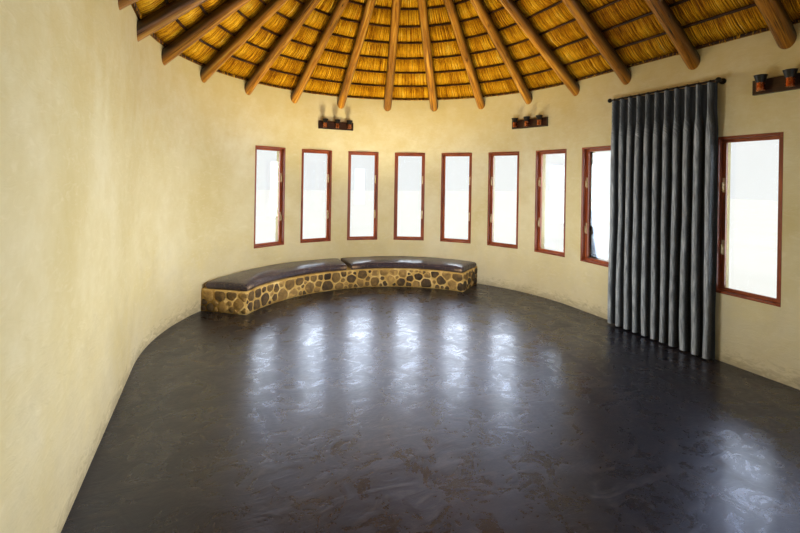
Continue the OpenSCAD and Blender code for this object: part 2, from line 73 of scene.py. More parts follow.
def makePiece(name, verts, faces, finish, slotName, replaces=(), smooth=True, **attributes):
    mesh = bpy.data.meshes.new(name)
    mesh.from_pydata([tuple(v) for v in verts], [], [tuple(f) for f in faces])
    mesh.update()
    for attributeName, values in attributes.items():
        values = np.asarray(values, np.float32)
        kind = "FLOAT" if values.ndim == 1 else "FLOAT_VECTOR"
        layer = mesh.attributes.new(attributeName, kind, "POINT")
        layer.data.foreach_set("value" if kind == "FLOAT" else "vector", values.ravel())
    return settle(newPiece(name, mesh), finish, replaces, smooth)


def settle(piece, finish, replaces=(), smooth=True):
    # Gives a piece its finish and body, and hides the imported pieces that it stands for
    piece.data.materials.clear()
    piece.data.materials.append(finish)
    piece.data.polygons.foreach_set("use_smooth", [smooth] * len(piece.data.polygons))
    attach(piece, "root")
    if replaces:
        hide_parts(*replaces)
    return piece


def tubes(centres, across, normals, radii, sides=3, turn=0.0):
    # Closed prisms round polylines: centres is (tubes, rings, 3), radii (tubes, rings)
    count, rings = centres.shape[:2]
    angles = turn + np.arange(sides) * 2 * math.pi / sides
    ringShape = (across[:, :, None, :] * np.cos(angles)[None, None, :, None]
                 + normals[:, :, None, :] * np.sin(angles)[None, None, :, None])
    verts = (centres[:, :, None, :] + ringShape * radii[:, :, None, None]).reshape(-1, 3)
    ring = np.arange(sides)
    following = (ring + 1) % sides
    quads = np.stack([ring, following, following + sides, ring + sides], -1)
    walls = (quads[None] + (np.arange(rings - 1) * sides)[:, None, None]).reshape(-1, 4)
    starts = np.arange(count) * rings * sides
    faces = (walls[None] + starts[:, None, None]).reshape(-1, 4).tolist()
    low = ring[::-1]
    high = ring + (rings - 1) * sides
    caps = np.concatenate([low[None] + starts[:, None], high[None] + starts[:, None]])
    return verts, faces + caps.tolist()


def joinParts(parts):
    # The verts and faces of several parts as one
    verts, faces, start = [], [], 0
    for partVerts, partFaces, *_ in parts:
        verts.extend(partVerts)
        faces.extend([tuple(i + start for i in face) for face in partFaces])
        start += len(partVerts)
    return verts, faces


def sweptFaces(steps, rows, turnedOut=True):
    # Faces of a closed section of rows points carried along in steps, with both its ends closed
    faces = []
    for low in range(0, steps * rows, rows):
        high = low + rows
        for j in range(rows):
            k = (j + 1) % rows
            if turnedOut:
                faces.append((low + j, high + j, high + k, low + k))
            else:
                faces.append((low + j, low + k, high + k, high + j))
    start = tuple(range(rows))
    end = tuple(range(steps * rows, (steps + 1) * rows))
    return faces + ([start, end[::-1]] if turnedOut else [start[::-1], end])


def newPiece(name, mesh):
    piece = bpy.data.objects.new(name, mesh)
    bpy.context.scene.collection.objects.link(piece)
    return piece


def ripple(x, y, z, seed=0.0):
    return noise.noise(Vector((x, y, z + seed)))


# Finish helpers: each call adds a node and gives back what comes out of it

def paint(code):
    channels = [int(code[i:i + 2], 16) / 255 for i in (1, 3, 5)]
    linear = [c / 12.92 if c <= 0.04045 else ((c + 0.055) / 1.055) ** 2.4 for c in channels]
    return (*linear, 1.0)


class Finish:
    def __init__(self, name):
        self.material = bpy.data.materials.new(name)
        self.material.use_nodes = True
        self.tree = self.material.node_tree
        self.shader = self.tree.nodes["Principled BSDF"]

    def add(self, kind, inputs=(), **settings):
        node = self.tree.nodes.new("ShaderNode" + kind)
        for key, value in settings.items():
            setattr(node, key, value)
        for key, value in dict(inputs).items():
            self.put(node.inputs[key], value)
        return node

    def put(self, socket, value):
        if isinstance(value, bpy.types.NodeSocket):
            self.tree.links.new(value, socket)
        else:
            socket.default_value = value

    def place(self):
        return self.add("TexCoord").outputs["Object"]

    def attribute(self, name, output="Vector"):
        return self.add("Attribute", attribute_name=name).outputs[output]

    def stretch(self, vector, scale, shift=(0, 0, 0)):
        return self.add("Mapping", {"Vector": vector, "Scale": scale, "Location": shift}).outputs[0]

    def grain(self, vector, scale, detail=4.0, rough=0.55, distort=0.0):
        return self.add("TexNoise", {"Vector": vector, "Scale": scale, "Detail": detail,
                                     "Roughness": rough, "Distortion": distort}).outputs["Fac"]

    def cells(self, vector, scale):
        return self.add("TexVoronoi", {"Vector": vector, "Scale": scale}).outputs["Distance"]

    def ramp(self, factor, stops):
        node = self.add("ValToRGB", {"Fac": factor})
        elements = node.color_ramp.elements
        while len(elements) < len(stops):
            elements.new(0.5)
        for element, (at, colour) in zip(elements, stops):
            element.position = at
            element.color = paint(colour)
        return node.outputs["Color"]

    def span(self, value, low, high, toLow=0.0, toHigh=1.0):
        return self.add("MapRange", {"Value": value, "From Min": low, "From Max": high,
                                     "To Min": toLow, "To Max": toHigh}).outputs["Result"]

    def sum(self, kind, a, b=0.0, clamp=False):
        node = self.add("Math", operation=kind, use_clamp=clamp)
        self.put(node.inputs[0], a)
        self.put(node.inputs[1], b)
        return node.outputs[0]

    def blend(self, factor, a, b, how="MIX"):
        node = self.add("Mix", data_type="RGBA", blend_type=how)
        for index, value in ((0, factor), (6, a), (7, b)):
            self.put(node.inputs[index], paint(value) if isinstance(value, str) else value)
        return node.outputs[2]

    def axis(self, vector, which):
        return self.add("SeparateXYZ", {"Vector": vector}).outputs[which]

    def relief(self, height, depth, strength=1.0, under=None):
        inputs = {"Height": height, "Distance": depth, "Strength": strength}
        if under is not None:
            inputs["Normal"] = under
        return self.add("Bump", inputs).outputs["Normal"]

    def dress(self, **sockets):
        names = {"colour": "Base Color", "rough": "Roughness", "metal": "Metallic", "normal": "Normal",
                 "sheen": "Sheen Weight", "sheenRough": "Sheen Roughness", "coat": "Coat Weight",
                 "coatRough": "Coat Roughness", "specular": "Specular IOR Level",
                 "specularTint": "Specular Tint"}
        for key, value in sockets.items():
            self.put(self.shader.inputs[names[key]], value)
        return self.material


# Finishes

def makePlaster():
    # Painted warm golden shade under the roof, painted greyer shade towards the floor, and scuffed along it
    f = Finish("creamPlaster")
    at = f.place()
    height = f.axis(at, 2)
    patch = f.grain(at, 0.9, 5.0, 0.6, 0.4)
    cloud = f.grain(at, 4.5, 5.0, 0.65)
    strokes = f.grain(f.stretch(at, (1.0, 1.0, 2.6)), 7.0, 6.0, 0.7, 1.4)
    speck = f.grain(at, 160.0, 3.0, 0.7)
    colour = f.ramp(patch, [(0.32, "#d4c592"), (0.5, "#ddd1a6"), (0.68, "#e6ddbb")])
    colour = f.blend(f.span(cloud, 0.42, 0.7, 0.0, 0.3), colour, "#cfbd84")
    colour = f.blend(f.span(strokes, 0.52, 0.75, 0.0, 0.3), colour, "#f5ecd2")
    # painted warm golden shade, growing with height under the roof
    high = f.span(f.sum("ADD", height, f.span(cloud, 0.3, 0.7, -0.2, 0.2)), 2.1, 3.1, 0.0, 0.55)
    colour = f.blend(high, colour, "#d0b268")
    # painted greyer shade, growing towards the floor
    low = f.span(f.sum("ADD", height, f.span(cloud, 0.3, 0.7, -0.25, 0.25)), 0.15, 1.0, 0.5, 0.0)
    colour = f.blend(low, colour, "#b7a98c")
    scuff = f.span(f.sum("ADD", height, f.span(strokes, 0.3, 0.7, -0.1, 0.1)), 0.16, 0.27, 0.55, 0.0)
    colour = f.blend(scuff, colour, "#8d8069")
    wave = f.grain(at, 2.2, 3.0, 0.5)
    normal = f.relief(wave, 0.05, 0.35)
    normal = f.relief(strokes, 0.008, 0.5, normal)
    normal = f.relief(speck, 0.0012, 0.5, normal)
    return f.dress(colour=colour, rough=f.span(strokes, 0.3, 0.7, 0.78, 0.95), normal=normal, specular=0.3)


def makeScreed():
    # Dark polished floor, its gloss broken by trowel marks and its reflections tinted blue as painted sky
    # reflection
    f = Finish("polishedScreed")
    at = f.place()
    cloud = f.grain(at, 0.7, 6.0, 0.62, 0.9)
    mottle = f.grain(at, 5.0, 6.0, 0.72, 0.8)
    fine = f.grain(at, 55.0, 4.0, 0.7)
    trowel = f.grain(f.stretch(at, (1.0, 2.4, 1.0)), 3.2, 5.0, 0.6, 2.2)
    colour = f.ramp(cloud, [(0.3, "#161418"), (0.48, "#221e21"), (0.62, "#2f2a29"), (0.75, "#3e3631")])
    colour = f.blend(f.span(mottle, 0.4, 0.7, 0.0, 0.6), colour, "#17151a")
    colour = f.blend(f.span(mottle, 0.6, 0.8, 0.0, 0.4), colour, "#534b46")
    colour = f.blend(f.span(trowel, 0.56, 0.66, 0.0, 0.3), colour, "#4a423e")
    gloss = f.sum("ADD", f.span(mottle, 0.35, 0.7, 0.16, 0.42), f.span(fine, 0.3, 0.7, 0.0, 0.06))
    gloss = f.sum("ADD", gloss, f.span(trowel, 0.5, 0.68, 0.0, 0.08))
    normal = f.relief(trowel, 0.01, 0.22)
    normal = f.relief(mottle, 0.008, 0.3, normal)
    normal = f.relief(fine, 0.0006, 0.3, normal)
    # the blue specular tint is painted reflection of sky light
    return f.dress(colour=colour, rough=gloss, normal=normal, coat=0.2, coatRough=0.16,
                   specular=0.85, specularTint=paint("#86a4f4"))


def makeThatch(name, weather=0.0):
    # tone is each bundle's own shade together with painted shade by the laths, 0 dark to 1 pale; grain runs
    # (across, up the slope)
    f = Finish(name)
    at = f.place()
    grain = f.attribute("grain")
    tone = f.attribute("tone", "Fac")
    drift = f.grain(at, 2.6, 4.0, 0.6)
    strands = f.grain(f.stretch(grain, (330.0, 7.0, 1.0)), 1.0, 3.0, 0.6)
    joints = f.grain(f.stretch(grain, (120.0, 60.0, 1.0)), 1.0, 3.0, 0.7)
    shade = f.sum("ADD", tone, f.span(drift, 0.3, 0.7, -0.16, 0.16))
    shade = f.sum("ADD", shade, f.span(strands, 0.3, 0.7, -0.26, 0.26), True)
    shade = f.sum("ADD", shade, f.span(joints, 0.35, 0.7, 0.06, -0.14), True)
    colour = f.ramp(shade, [(0.0, "#472205"), (0.18, "#8f5208"), (0.38, "#d2900d"), (0.58, "#eeb11d"),
                            (0.8, "#fbcb3a"), (1.0, "#fee68c")])
    rust = f.grain(at, 7.0, 4.0, 0.65)
    colour = f.blend(f.span(rust, 0.54, 0.72, 0.0, 0.4), colour, "#b4640c")
    if weather:
        grey = f.ramp(shade, [(0.0, "#2e261d"), (0.35, "#6d5c45"), (0.6, "#98856a"), (1.0, "#c9b998")])
        colour = f.blend(weather, colour, grey)
    return f.dress(colour=colour, rough=0.6, normal=f.relief(strands, 0.0015, 0.6), specular=0.25)


def makeThatchBed():
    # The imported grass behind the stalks: fine strands that run up the slope
    f = Finish("thatchBed")
    grain = f.attribute("grain")
    strands = f.grain(f.stretch(grain, (150.0, 3.0, 1.0)), 1.0, 5.0, 0.7)
    clumps = f.grain(f.stretch(grain, (22.0, 2.2, 1.0)), 1.0, 4.0, 0.6)
    shade = f.sum("ADD", f.span(strands, 0.25, 0.75, 0.0, 0.7), f.span(clumps, 0.3, 0.7, 0.0, 0.3))
    weather = f.attribute("weather", "Fac")
    inner = f.ramp(shade, [(0.1, "#2a1403"), (0.4, "#7a4707"), (0.7, "#bd7d10"), (1.0, "#e6ae28")])
    outer = f.ramp(shade, [(0.05, "#2b241b"), (0.35, "#655640"), (0.65, "#8f7d60"), (1.0, "#bba985")])
    normal = f.relief(strands, 0.006, 0.8)
    normal = f.relief(clumps, 0.02, 0.5, normal)
    return f.dress(colour=f.blend(weather, inner, outer), rough=0.8, normal=normal, specular=0.25)


def makePole():
    # flank is -1 along a pole's underside and 1 where it meets the thatch; the flanks and top are painted
    # dark as painted shade
    f = Finish("gumPole")
    grain = f.attribute("grain")
    knot = f.attribute("knot", "Fac")
    flank = f.attribute("flank", "Fac")
    streaks = f.grain(f.stretch(grain, (34.0, 1.6, 1.0)), 1.0, 6.0, 0.65, 0.8)
    fibre = f.grain(f.stretch(grain, (150.0, 5.0, 1.0)), 1.0, 4.0, 0.6)
    patch = f.grain(f.stretch(grain, (5.0, 1.3, 1.0)), 1.0, 3.0, 0.5)
    split = f.grain(f.stretch(grain, (46.0, 0.7, 1.0)), 1.0, 2.0, 0.4)
    crack = f.span(f.sum("ABSOLUTE", f.sum("SUBTRACT", split, 0.5)), 0.004, 0.018, 1.0, 0.0)
    crack = f.sum("MULTIPLY", crack, f.span(patch, 0.44, 0.52), True)
    colour = f.ramp(streaks, [(0.3, "#4a2507"), (0.42, "#87500f"), (0.54, "#bd7c1e"), (0.68, "#e6b14a")])
    colour = f.blend(f.span(patch, 0.4, 0.7, 0.0, 0.7), colour, "#5f300a")
    colour = f.blend(f.span(fibre, 0.35, 0.7, 0.0, 0.25), colour, "#d69c40")
    # painted shade: the flanks and top darken to near black, the underside stays lit
    paintedFlankShade = f.sum("ADD", flank, f.span(streaks, 0.3, 0.7, -0.22, 0.22))
    colour = f.blend(f.span(paintedFlankShade, -0.88, -0.1, 0.0, 0.95), colour, "#190b03")
    colour = f.blend(f.span(knot, 0.12, 0.8, 0.0, 0.9), colour, "#3f1d08")
    colour = f.blend(crack, colour, "#231004")
    normal = f.relief(streaks, 0.006, 0.5)
    normal = f.relief(fibre, 0.0015, 0.5, normal)
    normal = f.relief(f.sum("SUBTRACT", 1.0, crack), 0.006, 0.6, normal)
    return f.dress(colour=colour, rough=f.span(streaks, 0.3, 0.7, 0.32, 0.5), normal=normal,
                   coat=0.35, coatRough=0.25)


def makeLath():
    f = Finish("lathWood")
    at = f.place()
    patch = f.grain(at, 5.0, 4.0, 0.6)
    fine = f.grain(at, 60.0, 4.0, 0.6)
    colour = f.ramp(patch, [(0.3, "#190b04"), (0.5, "#321808"), (0.7, "#5a3315")])
    colour = f.blend(f.span(fine, 0.4, 0.7, 0.0, 0.4), colour, "#2e1608")
    return f.dress(colour=colour, rough=0.6, normal=f.relief(fine, 0.002, 0.5))


def makeStainedWood(name, dark, middle, light, rails=()):
    # rails is a list of (low, high) heights between which the grain runs level
    f = Finish(name)
    at = f.place()
    upright = f.stretch(at, (60.0, 60.0, 2.4))
    level = f.stretch(at, (7.0, 7.0, 90.0))
    streaksUp = f.grain(upright, 1.0, 6.0, 0.62, 0.6)
    streaksLevel = f.grain(level, 1.0, 6.0, 0.62, 0.6)
    height = f.axis(at, 2)
    inRail = 0.0
    for low, high in rails:
        inside = f.sum("MULTIPLY", f.sum("GREATER_THAN", height, low), f.sum("LESS_THAN", height, high))
        inRail = f.sum("MAXIMUM", inside, inRail)
    streaks = f.blend(inRail, streaksUp, streaksLevel)
    patch = f.grain(at, 2.2, 4.0, 0.6)
    pores = f.grain(f.stretch(at, (260.0, 260.0, 14.0)), 1.0, 3.0, 0.6)
    colour = f.ramp(streaks, [(0.3, dark), (0.5, middle), (0.7, light)])
    colour = f.blend(f.span(patch, 0.42, 0.72, 0.0, 0.45), colour, dark)
    colour = f.blend(f.span(pores, 0.58, 0.72, 0.0, 0.5), colour, dark)
    normal = f.relief(streaks, 0.0018, 0.4)
    normal = f.relief(pores, 0.0006, 0.35, normal)
    return f.dress(colour=colour, rough=f.span(streaks, 0.3, 0.7, 0.32, 0.5), normal=normal,
                   coat=0.3, coatRough=0.2)


def makeMetal(name, colour, worn, rough=0.3, metal=1.0):
    f = Finish(name)
    at = f.place()
    cloud = f.grain(at, 22.0, 5.0, 0.65)
    brush = f.grain(f.stretch(at, (180.0, 180.0, 900.0)), 1.0, 2.0, 0.5)
    tint = f.ramp(cloud, [(0.35, colour), (0.7, worn)])
    gloss = f.sum("ADD", f.span(cloud, 0.3, 0.7, rough - 0.08, rough + 0.12),
                  f.span(brush, 0.3, 0.7, 0.0, 0.06))
    return f.dress(colour=tint, rough=gloss, metal=metal, normal=f.relief(brush, 0.0004, 0.25))


def makeGlass():
    f = Finish("windowPane")
    at = f.place()
    smear = f.grain(at, 2.5, 5.0, 0.6, 1.0)
    f.tree.nodes.remove(f.shader)
    clear = f.add("BsdfTransparent", {"Color": paint("#fbfdfd")})
    gloss = f.add("BsdfGlossy", {"Color": paint("#f4f8ff"), "Roughness": f.span(smear, 0.3, 0.8, 0.0, 0.06)})
    edge = f.add("Fresnel", {"IOR": 1.5, "Normal": f.relief(smear, 0.002, 0.1)})
    mixed = f.add("MixShader", {"Fac": edge.outputs[0], 1: clear.outputs[0], 2: gloss.outputs[0]})
    f.tree.links.new(mixed.outputs[0], f.tree.nodes["Material Output"].inputs["Surface"])
    return f.material


def makeStone():
    f = Finish("rubbleStone")
    at = f.place()
    tone = f.attribute("tone", "Fac")
    cloud = f.grain(at, 14.0, 6.0, 0.65, 0.5)
    grit = f.grain(at, 120.0, 4.0, 0.7)
    shade = f.sum("ADD", f.span(tone, 0.0, 1.0, 0.0, 0.6), f.span(cloud, 0.3, 0.7, 0.0, 0.4))
    colour = f.ramp(shade, [(0.05, "#241d17"), (0.3, "#47392a"), (0.5, "#6c5533"), (0.7, "#917344"),
                            (0.95, "#c6a25e")])
    colour = f.blend(f.span(grit, 0.55, 0.75, 0.0, 0.4), colour, "#27221e")
    normal = f.relief(cloud, 0.012, 0.6)
    normal = f.relief(grit, 0.003, 0.6, normal)
    return f.dress(colour=colour, rough=f.span(cloud, 0.3, 0.7, 0.5, 0.8), normal=normal, specular=0.4)


def makeMortar(name, dark, middle, light, depth=0.01):
    f = Finish(name)
    at = f.place()
    cloud = f.grain(at, 6.0, 6.0, 0.65, 0.4)
    grit = f.grain(at, 90.0, 4.0, 0.75)
    colour = f.ramp(cloud, [(0.3, dark), (0.5, middle), (0.7, light)])
    colour = f.blend(f.span(grit, 0.55, 0.72, 0.0, 0.35), colour, dark)
    normal = f.relief(cloud, depth, 0.6)
    normal = f.relief(grit, 0.003, 0.6, normal)
    return f.dress(colour=colour, rough=0.9, normal=normal, specular=0.25)


def makeLeather():
    # front is 1 on a pad's front roll, which is painted paler as painted light
    f = Finish("padLeather")
    at = f.place()
    front = f.attribute("front", "Fac")
    cloud = f.grain(at, 3.0, 5.0, 0.6)
    crease = f.grain(at, 16.0, 5.0, 0.65, 1.2)
    pebble = f.cells(at, 420.0)
    colour = f.ramp(cloud, [(0.3, "#28222c"), (0.5, "#3c333b"), (0.7, "#52464a")])
    colour = f.blend(f.span(crease, 0.55, 0.75, 0.0, 0.35), colour, "#76654f")
    # painted light: the front roll turns pale, broken up by the creases
    worn = f.sum("ADD", front, f.span(crease, 0.3, 0.7, -0.3, 0.3), True)
    colour = f.blend(f.span(worn, 0.1, 0.9, 0.0, 0.85), colour, "#bf9f78")
    normal = f.relief(crease, 0.006, 0.4)
    normal = f.relief(pebble, 0.0008, 0.35, normal)
    # the blue specular tint is painted reflection of window light
    return f.dress(colour=colour, rough=f.span(crease, 0.3, 0.7, 0.3, 0.46), normal=normal,
                   coat=0.4, coatRough=0.2, specularTint=paint("#c8d4f4"))


def makePiping():
    f = Finish("padPiping")
    at = f.place()
    wear = f.grain(at, 30.0, 4.0, 0.6)
    colour = f.ramp(wear, [(0.35, "#241c1d"), (0.65, "#51423c")])
    return f.dress(colour=colour, rough=0.42, normal=f.relief(f.grain(at, 260.0, 3.0, 0.6), 0.001, 0.4))


def makeCurtainCloth():
    # fold is 0 in the valleys and 1 on the ridges: painted highlight on the ridges and painted shade in the
    # valleys
    f = Finish("curtainCloth")
    grain = f.attribute("grain")
    fold = f.attribute("fold", "Fac")
    warp, weft = [f.add("TexWave", {"Vector": grain, "Scale": 210.0, "Distortion": 1.2, "Detail": 2.0,
                                    "Detail Scale": 2.0}, bands_direction=way).outputs["Fac"]
                  for way in ("X", "Y")]
    slub = f.grain(f.stretch(grain, (90.0, 6.0, 1.0)), 1.0, 4.0, 0.6)
    cloud = f.grain(grain, 3.0, 4.0, 0.6)
    weave = f.sum("MULTIPLY", warp, weft)
    shade = f.sum("ADD", f.span(slub, 0.3, 0.7, 0.0, 0.28), f.span(weave, 0.0, 1.0, 0.0, 0.14))
    # painted highlight on the ridges and painted shade in the valleys
    shade = f.sum("ADD", shade, f.span(fold, 0.25, 0.98, -0.05, 0.62), True)
    colour = f.ramp(shade, [(0.05, "#1f2226"), (0.4, "#3b4046"), (0.66, "#6b7279"),
                            (0.82, "#a9b0b6"), (0.98, "#dde3e8")])
    colour = f.blend(f.span(cloud, 0.4, 0.7, 0.0, 0.3), colour, "#44474b")
    normal = f.relief(weave, 0.0008, 0.6)
    normal = f.relief(slub, 0.0012, 0.4, normal)
    return f.dress(colour=colour, rough=0.7, normal=normal, sheen=0.35, sheenRough=0.4, specular=0.25)


def makeBlackPaint():
    f = Finish("blackPaint")
    at = f.place()
    cloud = f.grain(at, 40.0, 5.0, 0.65)
    colour = f.ramp(cloud, [(0.35, "#151413"), (0.7, "#2c2926")])
    return f.dress(colour=colour, rough=f.span(cloud, 0.3, 0.7, 0.3, 0.5), metal=0.4,
                   normal=f.relief(cloud, 0.0008, 0.3))


plaster = makePlaster()
screed = makeScreed()
stalkInside = makeThatch("thatchStalks")
stalkOutside = makeThatch("weatheredStalks", 0.72)
thatchBed = makeThatchBed()
poleWood = makePole()
lathWood = makeLath()
levelRails = {
    "window": [(windowLow, windowLow + 0.055), (windowHigh - 0.065, windowHigh)],
    "door": [(floorZ, floorZ + 0.19), (floorZ + 0.525, floorZ + 0.623), (floorZ + 1.97, 3.0)],
    "board": [(0.0, 9.0)],     # level all over
}
frameWood = makeStainedWood("frameWood", "#541f14", "#8a3f24", "#b56233", levelRails["window"])
sashWood = makeStainedWood("sashWood", "#5c2414", "#964826", "#c06c38", levelRails["window"])
doorWood = makeStainedWood("doorWood", "#4a1d10", "#7c3a1f", "#a4552c", levelRails["door"])
boardWood = makeStainedWood("boardWood", "#1c0f0a", "#301a11", "#4c2a1a", levelRails["board"])
paneGlass = makeGlass()
brass = makeMetal("brassFitting", "#d9bd84", "#f6e7bf", 0.3, 0.45)
copper = makeMetal("copperHolder", "#b9643c", "#e6a27c", 0.2)
blackPaint = makeBlackPaint()
stone = makeStone()
benchMortar = makeMortar("benchMortar", "#937340", "#bd9c5c", "#dcc288")
capMortar = makeMortar("capMortar", "#7d7464", "#9c917d", "#b8ad97", 0.02)
sillMortar = makeMortar("sillMortar", "#5f5a54", "#7a746c", "#928b80")
leather = makeLeather()
piping = makePiping()
curtainCloth = makeCurtainCloth()
print("finishes made")


def dressNodes(names, finish):
    for name in names:
        piece = nodes[name]
        piece.data.materials.clear()
        piece.data.materials.append(finish)


dressNodes([f"{end}_wall_{i}" for end in ("far", "near") for i in range(1, 6)], plaster)
dressNodes(["left_wall", "right_wall_far", "right_wall_near", "over_door_wall"], plaster)
dressNodes(["floor_slab"], screed)
dressNodes(["door_sill"], sillMortar)
dressNodes(["door_frame", "door_leaf"], doorWood)
dressNodes(["window_frames"], frameWood)
dressNodes(["window_sashes"], sashWood)
dressNodes(["window_glass", "door_glass"], paneGlass)
dressNodes(["window_fasteners", "door_handle"], brass)
dressNodes(["wall_light_boards"], boardWood)
dressNodes(["wall_light_holders"], copper)
dressNodes(["wall_light_shades", "curtain_rod", "curtain_rings"], blackPaint)
dressNodes(["ridge_pole"], lathWood)
dressNodes(["ridge_cap"], capMortar)
print("packed pieces dressed")


# Roof: level is how far a place lies from the ridge, measured level, and lift how far it lies off the
# rafter tops, square to the slope; along is an angle in a round end and a place on Y on a straight side

roundEnds = ("far", "near")
fieldSide = {"far": 1, "near": -1, "right": 1, "left": -1}


def planeZ(level):
    # Height of the rafter tops
    return rafterTopZ + (roomR - level) * tanPitch


def roofPoints(field, along, level, lift):
    along, level, lift = np.broadcast_arrays(along, level, lift)
    side = fieldSide[field]
    reach = level + lift * sinPitch
    z = planeZ(level) + lift * cosPitch
    if field in roundEnds:
        return np.stack([reach * np.cos(along), side * (endY + reach * np.sin(along)), z], -1)
    return np.stack([side * reach, along, z], -1)


def roofAxes(field, along):
    # The directions across the slope and out of it
    along = np.asarray(along, float)
    zero, one = np.zeros_like(along), np.ones_like(along)
    side = fieldSide[field]
    if field in roundEnds:
        across = np.stack([-np.sin(along), side * np.cos(along), zero], -1)
        out = np.stack([sinPitch * np.cos(along), side * sinPitch * np.sin(along), cosPitch * one], -1)
        return across, out
    return np.stack([zero, one, zero], -1), np.stack([side * sinPitch * one, zero, cosPitch * one], -1)


def fieldSpan(field):
    return (0.0, math.pi) if field in roundEnds else (-endY, endY)


def withinField(field, along):
    low, high = fieldSpan(field)
    return np.clip(along, low + 0.001, high - 0.001)


def alongScale(field, level):
    # Metres for each step of along
    return np.maximum(level, 0.02) if field in roundEnds else np.ones_like(np.asarray(level, float))


laths = {
    "diameter": 0.030,
    "lift": 0.014,          # centre over the rafter tops
    "step": 0.270,          # up the slope
    "wander": 0.003,
    "ringStep": 0.085,      # length of their straight bits
    "sides": 8,
}
lathLevelStep = laths["step"] * cosPitch
lathInner = roomR - 0.001 - laths["diameter"] / 2 - laths["lift"] * sinPitch
lathOuter = outerR + 0.001 + laths["diameter"] / 2 - laths["lift"] * sinPitch
lathLevels = list(np.arange(lathInner, lathLevelStep / 2, -lathLevelStep))
eaveLevels = list(np.arange(lathOuter, eavesR - 0.07, lathLevelStep))

thatch = {
    "bundleStep": 0.0118,      # spacing of the bundles of grass seen from the room
    "bundleRadius": (0.0052, 0.0078),
    "bundleLap": (0.004, 0.016),      # how far past its lath a bundle starts
    "bundleFoot": 0.010,       # and past the lath over the wall
    "bundleShort": 0.02,       # how far short of the next lath one may end
    "bundleLean": 0.005,
    "bundleBelly": (0.010, 0.017),    # lift of a bundle's middle
    "overLath": 0.029,         # least lift of a bundle over a lath
    "overLathLoose": 0.004,
    "bundleTone": (0.42, 0.14, 0.10),     # middle shade, how much clumps change it, and bundles
    "lathShade": (-0.12, 0.06, -0.20),    # painted shade next to the lower lath and the upper one, lighter between them
    "eaveStep": 0.0135,        # spacing of the bundles under the eaves
    "eaveRows": 2.4,
    "tipCount": 300,           # bundles' ends on a square metre of the outside
    "fringeStep": 0.0074,      # size of the cut ends along the eaves
    "fringeSpacing": 3.2,
    "fringeRows": 6,
    "fringeRadius": (0.004, 0.0078),
    "fringeTone": (0.5, 0.2),
    "strayCount": 70,          # stray ends on a metre of the room's wall
    "strayHang": (0.020, 0.052),
    "strayRadius": (0.0014, 0.0034),
    "strayTone": (0.34, 0.18),
    "bedSteps": 54,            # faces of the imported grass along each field
    "bedLift": 0.024,          # its underside over the rafter tops
    "bedOverLath": 0.012,      # how much higher it runs at a lath
    "bedOutside": 24,          # rows of faces on its outside
}

underEaves = {
    "levels": (outerR + 0.03, eavesR - 0.004),
    "lifts": (0.012, 0.02),
    "length": (0.15, 0.26),
    "radius": thatch["bundleRadius"],
    "tilt": 0.001,
    "spread": 0.006,
    "shade": 0.42,
}

outsideTips = {
    "levels": (0.36, eavesR - 0.002),
    "lifts": (topLift - 0.010, topLift - 0.005),
    "length": (0.14, 0.38),
    "radius": (0.0034, 0.0062),
    "tilt": 0.003,
    "spread": 0.014,
    "shade": 0.5,
}


def bundleTones(middle, spread, count):
    return np.clip(middle + dice.normal(0.0, spread, count), 0.02, 0.98)


def tubeGrain(places, level, scale, radii, sides, turn):
    # Where each point of a bundle lies across the slope and up it, for its strands
    angles = turn + np.arange(sides) * 2 * math.pi / sides
    across = (places * scale)[:, :, None] + radii[:, :, None] * np.cos(angles)
    up = np.broadcast_to((level / cosPitch)[:, :, None], across.shape)
    own = np.broadcast_to(dice.uniform(0, 9, (len(places), 1, 1)), across.shape)
    return np.stack([across, up, own], -1).reshape(-1, 3)


def insideStalks(field):
    # Bundles from lath to lath, bedded over each lath and belly down between them
    low, high = fieldSpan(field)
    edges = [lathInner] + lathLevels[1:] + [0.03]
    shares = np.array([0.0, 0.45, 1.0])
    parts = []
    for lower, upper in zip(edges[:-1], edges[1:]):
        middle = (lower + upper) / 2
        scale = float(alongScale(field, middle))
        count = max(6, int((high - low) * scale / thatch["bundleStep"]))
        along = low + (np.arange(count) + dice.uniform(0.0, 1.0, count)) * (high - low) / count
        clump = np.sin(along * 37.0 + middle * 9.0) * 0.5 + 0.5
        bottom = lower + dice.uniform(*thatch["bundleLap"], count)
        if lower == lathInner:
            bottom = np.full(count, lathInner + thatch["bundleFoot"])
        top = np.maximum(upper - dice.uniform(0.0, thatch["bundleShort"], count), 0.01)
        lean = dice.normal(0.0, thatch["bundleLean"], count) / scale
        level = bottom[:, None] + (top - bottom)[:, None] * shares
        belly = dice.uniform(*thatch["bundleBelly"], (count, 1))
        overLath = thatch["overLath"] + dice.uniform(0.0, thatch["overLathLoose"], (count, 3))
        lift = np.where((shares > 0.1) & (shares < 0.9), belly, overLath)
        places = withinField(field, along[:, None] + lean[:, None] * (shares - 0.5))
        radii = dice.uniform(*thatch["bundleRadius"], (count, 1)) * np.array([1.0, 1.0, 0.92])
        across, out = roofAxes(field, places)
        centres = roofPoints(field, places, level, lift)
        verts, faces = tubes(centres, across, out * 0.6, radii, 3, -math.pi / 2)
        shade, byClump, spread = thatch["bundleTone"]
        tone = bundleTones(shade + byClump * clump, spread, count)
        grain = tubeGrain(places, level, scale, radii, 3, -math.pi / 2)
        # painted shade next to the laths, lighter in the middle of each bay
        tone = np.repeat(tone[:, None] + np.array(thatch["lathShade"]), 3, 1).ravel()
        parts.append((verts, faces, tone, grain))
    tones, grains = [np.concatenate([part[which] for part in parts]) for which in (2, 3)]
    return *joinParts(parts), tones, grains


